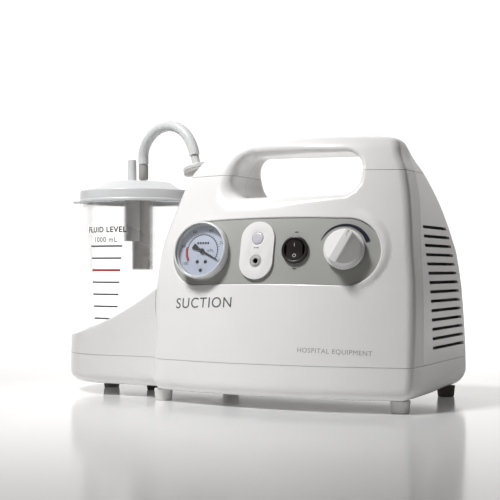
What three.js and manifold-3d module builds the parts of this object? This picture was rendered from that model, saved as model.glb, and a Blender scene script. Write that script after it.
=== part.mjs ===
// Portable electric suction pump for a hospital ward: a leaning plastic housing with a handle cut through
// its top, a collection jar standing in a holder at its left end, and an oil-free piston pump inside.
// Millimetres, +Z up, front towards -Y. The origin is on the ground under the middle of the whole object.
import * as THREE from "three";
import { mergeVertices } from "three/addons/utils/BufferGeometryUtils.js";
import Module from "manifold-3d";

const wasm = await Module();
wasm.setup();

// ---- Driving dimensions ------------------------------------------------------------------------------
const HOUSING_X = 60; // middle of the housing between its feet, from the origin
const HOUSING_Y = 7;
const GAP = 0.3; // between pieces that touch
const WALL = 2.8; // moulded shell
const TRAY_TOP = 38; // seam between the tray and the shells
const HANDLE_SEAM = 203; // seam between the shells and the handle covers
const TRAY_FLOOR = 13.3;
const FRONT_CORNER = 10;
const BACK_CORNER = 22;

// Plan of the housing at each height: left, right, front at the corners, back, and how far the front bows.
const HOUSING = [
  { z: 10.5, left: -112, right: 118, front: -75.5, back: 77.5, bow: 16 },
  { z: 12.5, left: -116.5, right: 122.5, front: -80, back: 82, bow: 16 },
  { z: 16, left: -119, right: 125.6, front: -82.6, back: 84.8, bow: 16 },
  { z: 22, left: -120, right: 126.7, front: -84, back: 86, bow: 16 },
  { z: 38, left: -120.4, right: 127, front: -81, back: 85.6, bow: 16 },
  { z: 96, left: -121, right: 125, front: -71, back: 82.4, bow: 16 },
  { z: 133, left: -118.3, right: 121, front: -64.8, back: 78.6, bow: 16 },
  { z: 152, left: -114.5, right: 119, front: -60.6, back: 68, bow: 16 },
  { z: 176, left: -107, right: 116, front: -54.8, back: 49, bow: 15 },
  { z: 203, left: -97.6, right: 109.8, front: -48, back: 22.5, bow: 13.5 },
  { z: 217, left: -87.8, right: 104, front: -44, back: 8, bow: 12 },
  { z: 226, left: -79.5, right: 101.6, front: -40.6, back: -1, bow: 11 },
  { z: 232, left: -70, right: 98.5, front: -36.5, back: -7, bow: 10 },
  { z: 235.4, left: -59, right: 90, front: -31.5, back: -12, bow: 9 },
  { z: 237, left: -44, right: 76, front: -25, back: -17, bow: 7 },
];
// Side view of the parting line between the front and rear mouldings.
const PARTING = [[-57, 5], [-54, 33], [-50, 60], [-45, 103], [-39, 133], [-24, 185], [-21, 203], [-14, 240]];

const OPENING = { left: -50, right: 73, bottom: 182, top: 220, corner: 18 }; // handle cut-out
const VENT = { count: 14, top: 155, pitch: 8, height: 3, front: -26, backTop: 42, backBottom: 67 };
const INLET = { x: 80, z: 84, width: 27, height: 20, flangeWidth: 50, flangeHeight: 24, depth: 24 };

const PANEL = { left: -102, right: 95.5, z: 134.6, height: 57, recess: 1.2, thick: 2, lip: 5, lean: 12 };
const GAUGE = { x: -67.3, z: 133.8, radius: 25.7, raised: 1.5, seat: 7 }; // faces straight ahead
const PLATE_X = -13;
const SWITCH_X = 22.6;
const KNOB_X = 65.5;
const LENS_UP = 10.5;
const JACK_UP = -9.5;
const ROCKER_TILT = 8;

const JAR_X = -181.5; // jar axis, from the middle of the housing
const HOLDER = { radius: 64.5, junction: -118, rimLow: 55, rimRise: 46, rimPower: 1.6 };
const RIM_END = -124; // where the holder's rim meets the housing
const WELL_RADIUS = 55;
const WELL_FLOOR = 21;
const JAR = { radius: 53.5, wall: 2.5, bottom: 24.2, top: 190.5, flange: 57, flangeZ: 181.4 };
const LID = { skirt: 56.5, bottom: 183.4, shoulder: 195.5, domeLow: 43, domeHigh: 32.5, top: 204 };
const PATIENT = { x: 0, y: -10, top: 226 };
const VACUUM = { x: 1, y: 10, top: 222 };
const DROP_TUBE = { radius: 7.5, bore: 5.5, bottom: 146 };
const CHAMBER = { x: 0.5, y: 9, radius: 10.25, bore: 8.6, bottom: 118 };
const LID_UNDERSIDE = 201.2;

const FOOT_TOP = 10.2;
const FEET = {
  foot_front_left: [-112, -68.5],
  foot_front_right: [112, -68.5],
  foot_rear_left: [-112, 68.5],
  foot_rear_right: [112, 68.5],
  foot_jar_outer: [-216, 8],
  foot_jar_inner: [-163, 3],
};

const FILTER = { tilt: 15, radius: 14, thick: 7, port: 4, base: [-106.5, -6, 200], rise: 15, reach: 29 };
const HOSE_RADIUS = 5.2;
// Suction hose from the lid to the filter, up and over in one arch.
const HOSE_ROUTE = [
  [-180.5, 10, 223.4], [-180.6, 10, 227], [-180.5, 9.8, 231], [-179.7, 9.3, 235.4], [-177.9, 8.6, 240.3],
  [-175, 7.7, 245], [-171.1, 6.7, 249.3], [-166.4, 5.5, 253], [-160.9, 4.1, 256], [-154.7, 2.6, 257.9],
  [-148.2, 1.1, 258.7], [-141.6, -0.4, 258.2], [-135.2, -1.8, 256.3], [-129.3, -3, 253],
  [-124.2, -4.1, 248.6], [-120.1, -5, 243.4], [-117, -5.6, 237.8], [-115.1, -5.9, 232.8], [-114.2, -6, 228.4],
];

const PUMP = { y: 18, z: 92 }; // motor axis, which runs along X
const CYLINDER_X = -56;
const CRANK_THROW = 4;
const PLATE = { left: -88, right: 62, front: -32, back: 66, z: 28, thick: 2.5 };
const DAMPERS = [[-78, -22], [52, -22], [-78, 56], [52, 56]];

// ---- Solids ------------------------------------------------------------------------------------------
/** A manifold solid from closed three.js geometry, turned right side out. */
function solid(geometry) {
  const bare = geometry.clone();
  for (const name of Object.keys(bare.attributes)) if (name !== "position") bare.deleteAttribute(name);
  const merged = mergeVertices(bare, 1e-4);
  const at = merged.attributes.position;
  const index = merged.index.array;
  const faces = [];
  let volume = 0;
  const corner = [new THREE.Vector3(), new THREE.Vector3(), new THREE.Vector3()];
  for (let i = 0; i < index.length; i += 3) {
    const [a, b, c] = [index[i], index[i + 1], index[i + 2]];
    if (a === b || b === c || c === a) continue;
    faces.push([a, b, c]);
    [a, b, c].forEach((v, k) => corner[k].fromBufferAttribute(at, v));
    volume += corner[0].dot(corner[1].clone().cross(corner[2]));
  }
  const triangles = faces.map(([a, b, c]) => (volume < 0 ? [a, c, b] : [a, b, c])).flat();
  const vertProperties = new Float32Array(at.array);
  const triVerts = new Uint32Array(triangles);
  return new wasm.Manifold(new wasm.Mesh({ numProp: 3, vertProperties, triVerts }));
}

/** Three.js geometry of a manifold solid. */
function geometryOf(manifold) {
  const mesh = manifold.getMesh();
  const geometry = new THREE.BufferGeometry();
  geometry.setAttribute("position", new THREE.BufferAttribute(new Float32Array(mesh.vertProperties), 3));
  geometry.setIndex(new THREE.BufferAttribute(new Uint32Array(mesh.triVerts), 1));
  geometry.computeVertexNormals();
  return geometry;
}

function moved(geometry, x, y, z) {
  return geometry.translate(x, y, z);
}

/** Box between two corners. */
function box(low, high) {
  const size = high.map((v, i) => v - low[i]);
  return solid(moved(new THREE.BoxGeometry(...size), ...high.map((v, i) => (v + low[i]) / 2)));
}

/** Turned piece about +Z from [radius, height] points. A profile that leaves the axis closes on itself. */
function turned(profile, segments = 20) {
  const points = profile.map(([r, z]) => new THREE.Vector2(r, z));
  if (profile[0][0] > 0) points.push(points[0].clone());
  return solid(new THREE.LatheGeometry(points, segments).rotateX(Math.PI / 2));
}

function rod(radius, low, high, segments = 16) {
  return turned([[0, low], [radius, low], [radius, high], [0, high]], segments);
}

function sleeve(bore, radius, low, high, segments = 20) {
  return turned([[bore, low], [radius, low], [radius, high], [bore, high]], segments);
}

/** The same solid with its +Z axis laid along +X. */
function alongX(manifold) {
  return manifold.rotate([0, 90, 0]);
}

function roundedRectangle(width, height, radius) {
  const [x, y] = [width / 2, height / 2];
  const shape = new THREE.Shape();
  shape.absarc(x - radius, y - radius, radius, 0, Math.PI / 2);
  shape.absarc(radius - x, y - radius, radius, Math.PI / 2, Math.PI);
  shape.absarc(radius - x, radius - y, radius, Math.PI, 1.5 * Math.PI);
  shape.absarc(x - radius, radius - y, radius, 1.5 * Math.PI, 2 * Math.PI);
  return shape;
}

function slab(shape, low, high, curveSegments = 8) {
  const options = { depth: high - low, bevelEnabled: false, curveSegments };
  return solid(moved(new THREE.ExtrudeGeometry(shape, options), 0, 0, low));
}

/** Round tube along points. */
function tube(route, radius, steps, sides = 10) {
  const curve = new THREE.CatmullRomCurve3(route.map((p) => new THREE.Vector3(...p)));
  const circle = new THREE.Shape().absarc(0, 0, radius, 0, 2 * Math.PI);
  const options = { extrudePath: curve, steps, curveSegments: sides / 2, bevelEnabled: false };
  return solid(new THREE.ExtrudeGeometry(circle, options));
}

/** Closed solid through rings of points, each ring flat and facing up. */
function loft(rings) {
  const count = rings[0].length;
  const positions = rings.flat(2);
  const index = [];
  for (let level = 0; level + 1 < rings.length; level += 1) {
    for (let i = 0; i < count; i += 1) {
      const [a, b] = [level * count + i, level * count + ((i + 1) % count)];
      index.push(a, b, b + count, a, b + count, a + count);
    }
  }
  const flat = rings[0].map(([x, y]) => new THREE.Vector2(x, y));
  for (const [a, b, c] of THREE.ShapeUtils.triangulateShape(flat, [])) index.push(c, b, a);
  const lid = (rings.length - 1) * count;
  const top = rings.at(-1).map(([x, y]) => new THREE.Vector2(x, y));
  for (const [a, b, c] of THREE.ShapeUtils.triangulateShape(top, [])) index.push(lid + a, lid + b, lid + c);
  const geometry = new THREE.BufferGeometry();
  geometry.setAttribute("position", new THREE.Float32BufferAttribute(positions, 3));
  geometry.setIndex(index);
  return solid(geometry);
}

// ---- Housing form ------------------------------------------------------------------------------------
function between(z, key) {
  const above = Math.max(1, HOUSING.findIndex((row) => row.z >= z));
  const [low, high] = [HOUSING[above - 1], HOUSING[above]];
  return low[key] + ((high[key] - low[key]) * (z - low.z)) / (high.z - low.z);
}

/** Front surface at x and height z. */
function frontAt(x, z) {
  const middle = (between(z, "left") + between(z, "right")) / 2;
  const half = (between(z, "right") - between(z, "left")) / 2 - FRONT_CORNER;
  return between(z, "front") - between(z, "bow") * (1 - ((x - middle) / half) ** 2);
}

function arcPoints(x, y, radius, from, steps) {
  return Array.from({ length: steps + 1 }, (_, i) => {
    const angle = from + ((Math.PI / 2) * i) / steps;
    return [x + radius * Math.cos(angle), y + radius * Math.sin(angle)];
  });
}

/** Plan outline of the housing at one height, drawn in by an inset. */
function housingRing(row, inset) {
  const [left, right, back] = [row.left + inset, row.right - inset, row.back - inset];
  const front = row.front + inset;
  const deep = back - front;
  const rear = Math.min(BACK_CORNER, deep * 0.45) - Math.min(inset, 2);
  const near = Math.min(FRONT_CORNER, deep * 0.35) - Math.min(inset, 2);
  const points = [];
  const across = 10;
  for (let i = 1; i < across; i += 1) {
    const s = (2 * i) / across - 1;
    points.push([(left + right) / 2 + s * ((right - left) / 2 - near), front - row.bow * (1 - s * s)]);
  }
  points.push(...arcPoints(right - near, front + near, near, -Math.PI / 2, 2));
  points.push(...arcPoints(right - rear, back - rear, rear, 0, 3));
  points.push(...arcPoints(left + rear, back - rear, rear, Math.PI / 2, 3));
  points.push(...arcPoints(left + near, front + near, near, Math.PI, 2));
  return points;
}

/** The housing as one solid, drawn in by an inset on every side. */
function housingSolid(inset) {
  const rows = HOUSING.map((row) => ({ ...row, z: Math.min(row.z, 237 - inset) }));
  const kept = rows.filter((row, i) => i === 0 || row.z > rows[i - 1].z + 0.01);
  if (inset < 0) kept[kept.length - 1].z += -inset;
  return loft(kept.map((row) => housingRing(row, inset).map(([x, y]) => [x, y, row.z])));
}

/** Plan outline of the jar holder. */
function holderRing(radius) {
  const points = [];
  const steps = 18;
  for (let i = 0; i <= steps; i += 1) {
    const angle = Math.PI / 2 + (Math.PI * i) / steps;
    points.push([JAR_X + radius * Math.cos(angle), radius * Math.sin(angle)]);
  }
  return [...points, [HOLDER.junction + 20, -radius], [HOLDER.junction + 20, radius]];
}

function holderSolid(inset, top) {
  const levels = [[10.5, 9], [12.5, 4.5], [16, 1.8], [22, 0.4], [38, 0], [top, 0]];
  const ringAt = ([z, draw]) => holderRing(HOLDER.radius - draw - inset).map(([x, y]) => [x, y, z]);
  return loft(levels.map(ringAt));
}

/** Everything in front of the parting line, moved back by a shift. */
function frontOfParting(shift) {
  const outline = [[-140, 5], ...PARTING.map(([y, z]) => [y + shift, z]), [-140, 240]];
  const shape = new THREE.Shape(outline.map(([y, z]) => new THREE.Vector2(y, z)));
  const geometry = new THREE.ExtrudeGeometry(shape, { depth: 400, bevelEnabled: false });
  // The outline's x and y become Y and Z, and the depth runs along X.
  const turn = new THREE.Matrix4().set(0, 0, 1, -200, 1, 0, 0, 0, 0, 1, 0, 0, 0, 0, 0, 1);
  return solid(geometry.applyMatrix4(turn));
}

function openingPrism(grow) {
  const { left, right, bottom, top, corner } = OPENING;
  const shape = roundedRectangle(right - left + 2 * grow, top - bottom + 2 * grow, corner + grow);
  const geometry = new THREE.ExtrudeGeometry(shape, { depth: 300, bevelEnabled: false, curveSegments: 4 });
  geometry.rotateX(Math.PI / 2);
  return solid(moved(geometry, (left + right) / 2, 150, (bottom + top) / 2));
}

/** Placement on the control panel: +Z out of it, +Y up it, at x across it and turned with its bow. */
function panelPlace(x) {
  const middle = (between(PANEL.z, "left") + between(PANEL.z, "right")) / 2;
  const half = (between(PANEL.z, "right") - between(PANEL.z, "left")) / 2 - FRONT_CORNER;
  const turn = Math.atan((2 * between(PANEL.z, "bow") * (x - middle)) / half ** 2);
  const lean = THREE.MathUtils.degToRad(PANEL.lean);
  const across = new THREE.Vector3(Math.cos(turn), Math.sin(turn), 0);
  const level = Math.cos(lean);
  const out = new THREE.Vector3(Math.sin(turn) * level, -Math.cos(turn) * level, Math.sin(lean));
  const up = out.clone().cross(across);
  const matrix = new THREE.Matrix4().makeBasis(across, up, out);
  return matrix.setPosition(x, frontAt(x, PANEL.z) + PANEL.recess, PANEL.z);
}

/** Placement of the gauge: +Z out of it, +Y up it. */
function gaugePlace() {
  const matrix = new THREE.Matrix4().makeRotationX(Math.PI / 2 - THREE.MathUtils.degToRad(PANEL.lean));
  return matrix.setPosition(GAUGE.x, frontAt(GAUGE.x, PANEL.z) + PANEL.recess - GAUGE.raised, GAUGE.z);
}

function placed(manifold, matrix) {
  return manifold.transform(matrix.elements);
}

function panelPrism(grow) {
  const width = PANEL.right - PANEL.left + 2 * grow;
  const height = PANEL.height + 2 * grow;
  const lean = THREE.MathUtils.degToRad(PANEL.lean);
  const geometry = new THREE.ExtrudeGeometry(roundedRectangle(width, height, height / 2 - 0.01), {
    depth: 70, bevelEnabled: false, curveSegments: 5,
  });
  moved(geometry, 0, 0, -30);
  geometry.rotateX(Math.PI / 2 - lean);
  return solid(moved(geometry, (PANEL.left + PANEL.right) / 2, frontAt(0, PANEL.z) + 15, PANEL.z));
}

// ---- Housing pieces ----------------------------------------------------------------------------------
function housingShell() {
  const outside = housingSolid(0).subtract(openingPrism(0));
  const inside = housingSolid(WALL).subtract(openingPrism(WALL));
  return outside.subtract(inside);
}

function level(low, high) {
  return box([-300, -200, low], [300, 200, high]);
}

function ventSlots() {
  let slots = null;
  for (let i = 0; i < VENT.count; i += 1) {
    const z = VENT.top - i * VENT.pitch;
    const back = VENT.backTop + (VENT.backBottom - VENT.backTop) * Math.sqrt(i / (VENT.count - 1));
    const slot = box([108, VENT.front, z - VENT.height / 2], [140, back, z + VENT.height / 2]);
    slots = slots ? slots.add(slot) : slot;
  }
  return slots;
}

function baseTray() {
  const outside = housingSolid(0).add(holderSolid(0, 60));
  const inside = housingSolid(WALL).add(holderSolid(WALL, 60)).intersect(level(TRAY_FLOOR, 60));
  return outside.subtract(inside).intersect(level(0, TRAY_TOP - GAP / 2));
}

function frontShell(shell) {
  return shell
    .intersect(frontOfParting(-GAP / 2))
    .intersect(level(TRAY_TOP + GAP / 2, HANDLE_SEAM - GAP / 2))
    .subtract(panelPrism(0.4));
}

function rearShell(shell) {
  const inlet = box(
    [INLET.x - INLET.width / 2 - 0.5, 60, INLET.z - INLET.height / 2 - 0.5],
    [INLET.x + INLET.width / 2 + 0.5, 100, INLET.z + INLET.height / 2 + 0.5],
  );
  const portHole = alongX(rod(5.6, 0, 40, 16)).translate([-125, FILTER.base[1], 189.2]);
  return shell
    .subtract(frontOfParting(GAP / 2))
    .intersect(level(TRAY_TOP + GAP / 2, HANDLE_SEAM - GAP / 2))
    .subtract(ventSlots())
    .subtract(inlet)
    .subtract(portHole);
}

function handleFrontCover(shell) {
  return shell.intersect(frontOfParting(-GAP / 2)).intersect(level(HANDLE_SEAM + GAP / 2, 260));
}

function handleRearCover(shell) {
  return shell.subtract(frontOfParting(GAP / 2)).intersect(level(HANDLE_SEAM + GAP / 2, 260));
}

/** Space above the holder's rim, which sweeps up towards the housing. */
function aboveRim() {
  const outline = [];
  const steps = 10;
  const start = JAR_X - HOLDER.radius;
  for (let i = 0; i <= steps; i += 1) {
    const t = i / steps;
    const x = start + t * (RIM_END - start);
    outline.push([x, HOLDER.rimLow + HOLDER.rimRise * t ** HOLDER.rimPower]);
  }
  outline.push([-80, outline.at(-1)[1] + 6], [-80, 200], [start - 20, 200], [start - 20, HOLDER.rimLow]);
  const shape = new THREE.Shape(outline.map(([x, z]) => new THREE.Vector2(x, z)));
  const geometry = new THREE.ExtrudeGeometry(shape, { depth: 300, bevelEnabled: false });
  return solid(moved(geometry.rotateX(Math.PI / 2), 0, 150, 0));
}

function jarHolder() {
  const rim = aboveRim();
  const outside = holderSolid(0, 110).intersect(level(TRAY_TOP + GAP / 2, 120)).subtract(rim);
  const hollow = holderSolid(WALL, 110).subtract(rim.translate([0, 0, -WALL]));
  const well = rod(WELL_RADIUS + 2.5, WELL_FLOOR, 130, 36).translate([JAR_X, 0, 0]).subtract(rim);
  const space = rod(WELL_RADIUS, WELL_FLOOR + 2.7, 130, 36).translate([JAR_X, 0, 0]);
  return outside.subtract(hollow).add(well).subtract(space).subtract(housingSolid(-0.35));
}

function controlPanel() {
  const face = housingSolid(PANEL.recess).subtract(housingSolid(PANEL.recess + PANEL.thick + 0.4));
  const lipIn = WALL + 0.4;
  const lip = housingSolid(lipIn).subtract(housingSolid(lipIn + 1.8));
  let panel = face.intersect(panelPrism(0)).add(lip.intersect(panelPrism(PANEL.lip)));
  panel = panel.intersect(box([-200, -120, 80], [200, -20, 180]));
  // The gauge stands on a round seat moulded square to its axis, partly sunk in the bowed face.
  const seatRadius = GAUGE.radius + GAP;
  const room = rod(seatRadius, 0.5, 30, 36);
  const seat = sleeve(20.5, seatRadius, -GAUGE.seat, 0.5, 36);
  panel = panel.subtract(placed(rod(20.5, -30, 30, 36).add(room), gaugePlace())).add(placed(seat, gaugePlace()));
  const holes = [
    [PLATE_X, LENS_UP, 5.7],
    [PLATE_X, JACK_UP, 5.7],
    [SWITCH_X, 0, 10.8],
    [KNOB_X, 0, 4.6],
  ];
  for (const [x, up, radius] of holes) {
    panel = panel.subtract(placed(rod(radius, -20, 20, 24).translate([0, up, 0]), panelPlace(x)));
  }
  return panel;
}

function foot() {
  return turned([[0, 0], [8, 0], [8.9, 1.4], [8.2, FOOT_TOP], [0, FOOT_TOP]], 20);
}

// ---- Panel pieces, each in the panel's own placement --------------------------------------------------
function gaugeCase() {
  const profile = [
    [0, -34], [3, -34], [3, -26], [20, -26], [20, 0.8],
    [24.2, 0.8], [24.2, 7], [23.2, 7], [23.2, 2.2], [0, 2.2],
  ];
  return turned(profile, 36);
}

function gaugeBezel() {
  const radius = GAUGE.radius;
  return turned([
    [24.5, 0.8], [radius, 0.8], [radius, 9.2], [radius - 1, 10.4], [22.2, 10.4], [22.2, 9], [24.5, 9],
  ], 36);
}

function gaugeDial() {
  return sleeve(1.5, 22.9, 2.6, 3.4, 36);
}

function gaugeWindow() {
  const profile = [[0, 9.4], [9, 9.1], [16, 8.4], [24.1, 7.3], [24.1, 8.2], [16, 9.7], [9, 10.4], [0, 10.7]];
  return turned(profile, 36);
}

/** Needle at its zero position, towards four o'clock. */
function gaugeNeedle() {
  const corners = [[-7, -1.6], [-7, 1.6], [17.5, 0.3], [17.5, -0.3]];
  const blade = new THREE.Shape(corners.map((corner) => new THREE.Vector2(...corner)));
  const hub = rod(2.3, 4, 5.4, 16).add(rod(0.9, 2.5, 4.5, 12));
  return slab(blade, 4.2, 4.9).add(hub).rotate([0, 0, -27]);
}

function indicatorPlate() {
  const plate = slab(roundedRectangle(33, 52, 16.4), 0.5, 2.1, 8);
  return plate
    .subtract(rod(5.7, -1, 4, 20).translate([0, LENS_UP, 0]))
    .subtract(rod(5.7, -1, 4, 20).translate([0, JACK_UP, 0]));
}

function indicatorLens() {
  return turned([[0, -8], [5.3, -8], [5.3, 2.2], [3.6, 3], [0, 3.3]], 20).translate([0, LENS_UP, 0]);
}

function auxiliaryJack() {
  const profile = [[0, -14], [5.3, -14], [5.3, 2.4], [2.3, 2.4], [2.3, -8], [0, -8]];
  return turned(profile, 20).translate([0, JACK_UP, 0]);
}

function switchBody() {
  return turned([
    [0, -24], [10.4, -24], [10.4, 0.6], [12, 0.6], [12, 2.2], [11.4, 2.8], [9.4, 2.8], [9.4, -6], [0, -6],
  ]);
}

/** Rocker at off: its lower half pressed in. */
function switchRocker() {
  const body = rod(8.5, -3.2, 3.6, 24).intersect(box([-7, -9, -4], [7, 9, 5]));
  const hollow = alongX(rod(26, -9, 9, 40)).translate([0, 0, 28.4]);
  return body.subtract(hollow).rotate([ROCKER_TILT, 0, 0]);
}

function vacuumKnob() {
  const profile = [[0, 1.2], [17.2, 1.2], [17.5, 4.6], [15.4, 6], [14.6, 13.4], [13.4, 14.4], [0, 14.4]];
  const body = turned(profile, 24);
  const grip = slab(roundedRectangle(8, 27, 3.9), 13, 18.5, 4);
  const bore = rod(3.3, 0, 11, 16);
  return body.add(grip).subtract(bore).rotate([0, 0, -28]);
}

function valveStem() {
  return rod(3, -16, 10.7, 16);
}

function valveBody() {
  const profile = [
    [0, -36], [13, -36], [13, -6], [4, -6], [4, 0.6], [3.3, 0.6], [3.3, -16.4], [0, -16.4],
  ];
  const body = turned(profile, 24);
  const sideBarb = alongX(rod(3, 0, 12, 12)).translate([-24, 0, -24]);
  const lowBarb = rod(3, 0, 12, 12).rotate([90, 0, 0]).translate([0, -12, -26]);
  return body.add(sideBarb).add(lowBarb);
}

// ---- Jar pieces, about the jar's own axis --------------------------------------------------------------
function jar() {
  const inner = JAR.radius - JAR.wall;
  return turned([
    [0, JAR.bottom], [48, JAR.bottom], [52, JAR.bottom + 1.4], [JAR.radius, JAR.bottom + 5],
    [JAR.radius, JAR.flangeZ], [JAR.flange, JAR.flangeZ], [JAR.flange, JAR.flangeZ + 1.6],
    [JAR.radius, JAR.flangeZ + 1.6], [JAR.radius, JAR.top], [inner, JAR.top], [inner, JAR.bottom + 6],
    [48, JAR.bottom + 2.6], [0, JAR.bottom + 2.6],
  ], 36);
}

function jarLid() {
  const skin = turned([
    [53.9, LID.bottom], [LID.skirt, LID.bottom], [LID.skirt, LID.shoulder - 2],
    [LID.skirt - 1.5, LID.shoulder],
    [LID.domeLow, LID.shoulder], [LID.domeHigh, LID.top], [0.01, LID.top], [0.01, LID_UNDERSIDE + GAP],
    [31.6, LID_UNDERSIDE + GAP], [41.6, 193], [53.9, 193],
  ], 36);
  const core = rod(2, LID_UNDERSIDE + GAP, LID.top, 8);
  const tab = box([-63, -7, LID.bottom], [-55, 7, LID.bottom + 2]).rotate([0, 0, 24]);
  const patient = rod(4, LID.top - 1, PATIENT.top, 20).translate([PATIENT.x, PATIENT.y, 0]);
  const vacuum = rod(3, LID.top - 1, VACUUM.top, 20).translate([VACUUM.x, VACUUM.y, 0]);
  return skin
    .add(core)
    .add(tab)
    .add(patient)
    .add(vacuum)
    .subtract(rod(2.7, 190, 240, 16).translate([PATIENT.x, PATIENT.y, 0]))
    .subtract(rod(1.8, 190, 240, 16).translate([VACUUM.x, VACUUM.y, 0]));
}

function lidSeal() {
  return sleeve(51.2, 53.3, JAR.top + GAP, 192.7, 36);
}

function dropTube() {
  return sleeve(DROP_TUBE.bore, DROP_TUBE.radius, DROP_TUBE.bottom, LID_UNDERSIDE, 20)
    .translate([PATIENT.x, PATIENT.y, 0]);
}

function floatChamber() {
  const { radius, bore, bottom } = CHAMBER;
  const cup = turned([
    [0, bottom], [radius, bottom], [radius, LID_UNDERSIDE],
    [bore, LID_UNDERSIDE], [bore, bottom + 2], [0, bottom + 2],
  ], 24);
  const slots = box([-20, -2.5, bottom + 3], [20, 2.5, bottom + 9]).add(box([5, -2.5, 186], [20, 2.5, 194]));
  return cup.subtract(slots).translate([CHAMBER.x, CHAMBER.y, 0]);
}

function floatValve() {
  const low = CHAMBER.bottom + 2.4;
  return turned([[0, low], [6, low], [8, low + 2], [8, low + 26], [4, low + 30], [0, low + 30]], 20)
    .translate([CHAMBER.x, CHAMBER.y, 0]);
}

function hoseSleeve() {
  return sleeve(3.3, 4.8, 208, 223, 20).translate([VACUUM.x, VACUUM.y, 0]);
}

// ---- Filter -------------------------------------------------------------------------------------------
/** Placement whose +Z runs up the filter's axis from the end of its port. */
function filterPlace() {
  return new THREE.Matrix4()
    .makeRotationY(-THREE.MathUtils.degToRad(FILTER.tilt))
    .setPosition(...FILTER.base);
}

function filterLower() {
  const half = FILTER.thick / 2;
  const [r, p, rise] = [FILTER.radius, FILTER.port, FILTER.rise];
  return turned([
    [p - 1.5, GAP], [p, GAP], [p, rise - half - 2], [r - 3, rise - half], [r, rise - half], [r, rise - 0.5],
    [r - 2, rise - 0.5], [r - 3, rise - half + 1.5], [p - 1.5, rise - half],
  ], 24);
}

function filterUpper() {
  const half = FILTER.thick / 2;
  const [r, p, rise] = [FILTER.radius, FILTER.port, FILTER.rise];
  return turned([
    [p - 1.5, FILTER.reach - GAP], [p, FILTER.reach - GAP], [p, rise + half + 2], [r - 3, rise + half],
    [r, rise + half], [r, rise - 0.2], [r - 2, rise - 0.2], [r - 3, rise + half - 1.5],
    [p - 1.5, rise + half],
  ], 24);
}

function filterElbow() {
  const [x, y, z] = FILTER.base;
  return tube([[x + 20, y, 188.2], [x + 9, y, 188.6], [x + 2.2, y, 191.6], [x, y, z - 0.2]], 4.5, 12, 12);
}

// ---- Pump and electrics -------------------------------------------------------------------------------
/** Solid about +Z from the profile, laid along the motor axis with its heights as X positions. */
function onMotorAxis(manifold) {
  return alongX(manifold).translate([0, PUMP.y, PUMP.z]);
}

function mountPlate() {
  return box([PLATE.left, PLATE.front, PLATE.z], [PLATE.right, PLATE.back, PLATE.z + PLATE.thick]);
}

function damper() {
  return turned([[0, 13.6], [8, 13.6], [6.4, 17], [6.4, 24], [8, PLATE.z - GAP], [0, PLATE.z - GAP]], 20);
}

function crankcase() {
  const foot = PLATE.z + PLATE.thick + GAP;
  const block = box([-72, -8, foot], [-38, 44, 118]).add(onMotorAxis(rod(38, -40, -13, 28)));
  const cavity = box([-80, -3, 66], [-46, 39, 114]);
  return block
    .subtract(cavity)
    .subtract(rod(16, 100, 130, 24).translate([CYLINDER_X, PUMP.y, 0]))
    .subtract(rod(20.4, 118, 150, 24).translate([CYLINDER_X, PUMP.y, 0]))
    .subtract(onMotorAxis(rod(34.5, -35, 0, 28)))
    .subtract(onMotorAxis(rod(11.3, -50, -30, 24)));
}

function motorEndBell() {
  const foot = PLATE.z + PLATE.thick + GAP;
  return onMotorAxis(rod(38, 31, 46, 28))
    .add(box([34, 2, foot], [46, 34, 70]))
    .subtract(onMotorAxis(sleeve(14, 34.5, 30, 43, 28)))
    .subtract(onMotorAxis(rod(34.5, 30, 35.6, 28)))
    .subtract(onMotorAxis(rod(11.3, 30, 43, 24)))
    .subtract(onMotorAxis(rod(6, 40, 50, 20)));
}

function stator() {
  const slot = box([-30, -3, 24], [60, 3, 30]);
  let core = onMotorAxis(sleeve(23.5, 37.5, -12.6, 30.6, 28));
  for (let i = 0; i < 4; i += 1) {
    core = core.subtract(slot.rotate([45 + 90 * i, 0, 0]).translate([0, PUMP.y, PUMP.z]));
  }
  return core;
}

function rotor() {
  return onMotorAxis(sleeve(4.3, 22.8, -14, 32, 24));
}

function motorShaft() {
  return onMotorAxis(rod(4, -49.7, 66, 20));
}

function bearing(low) {
  return onMotorAxis(sleeve(4.3, 11, low, low + 7, 24));
}

function coolingFan() {
  let fan = sleeve(4.3, 9, 52, 64, 24);
  for (let i = 0; i < 7; i += 1) {
    const blade = box([8, -1, 53], [34, 1, 63]).rotate([0, 0, (360 * i) / 7]);
    fan = fan.add(blade);
  }
  return onMotorAxis(fan);
}

/** Eccentric on the shaft's end, its pin up. */
function eccentric() {
  const disc = turned([[0, -52], [9, -52], [9, -47.2], [4.3, -47.2], [4.3, -50], [0, -50]], 24);
  const pin = rod(3.5, -60, -51, 16).translate([-CRANK_THROW, 0, 0]);
  return onMotorAxis(disc.add(pin));
}

/** Piston with its rod in one piece; the rod's eye stands clear of the pin's whole circle. */
function pistonRod() {
  const eye = alongX(sleeve(12.6, 16.6, -3, 3, 24)).translate([CYLINDER_X, PUMP.y, PUMP.z]);
  const rib = box([CYLINDER_X - 3, PUMP.y - 5, PUMP.z + 14], [CYLINDER_X + 3, PUMP.y + 5, 130]);
  return eye.add(rib).add(rod(15.4, 128, 136, 24).translate([CYLINDER_X, PUMP.y, 0]));
}

function cylinder() {
  return sleeve(15.8, 20, 118.3, 146, 24).translate([CYLINDER_X, PUMP.y, 0]);
}

function cylinderHead() {
  const [x, y] = [CYLINDER_X, PUMP.y];
  const block = slab(roundedRectangle(46, 46, 8), 146.3, 162, 4).translate([x, y, 0]);
  const barb = alongX(rod(3, 0, 12, 12));
  return block
    .subtract(rod(13, 140, 155, 20).translate([x, y, 0]))
    .add(barb.translate([x + 22, y, 155]))
    .add(rod(3, 0, 8, 12).translate([x - 12, y, 161]));
}

function transformer() {
  return box([72, -22, TRAY_FLOOR + GAP], [108, 32, 56]).add(box([66, -8, 22], [114, 18, 48]));
}

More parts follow.
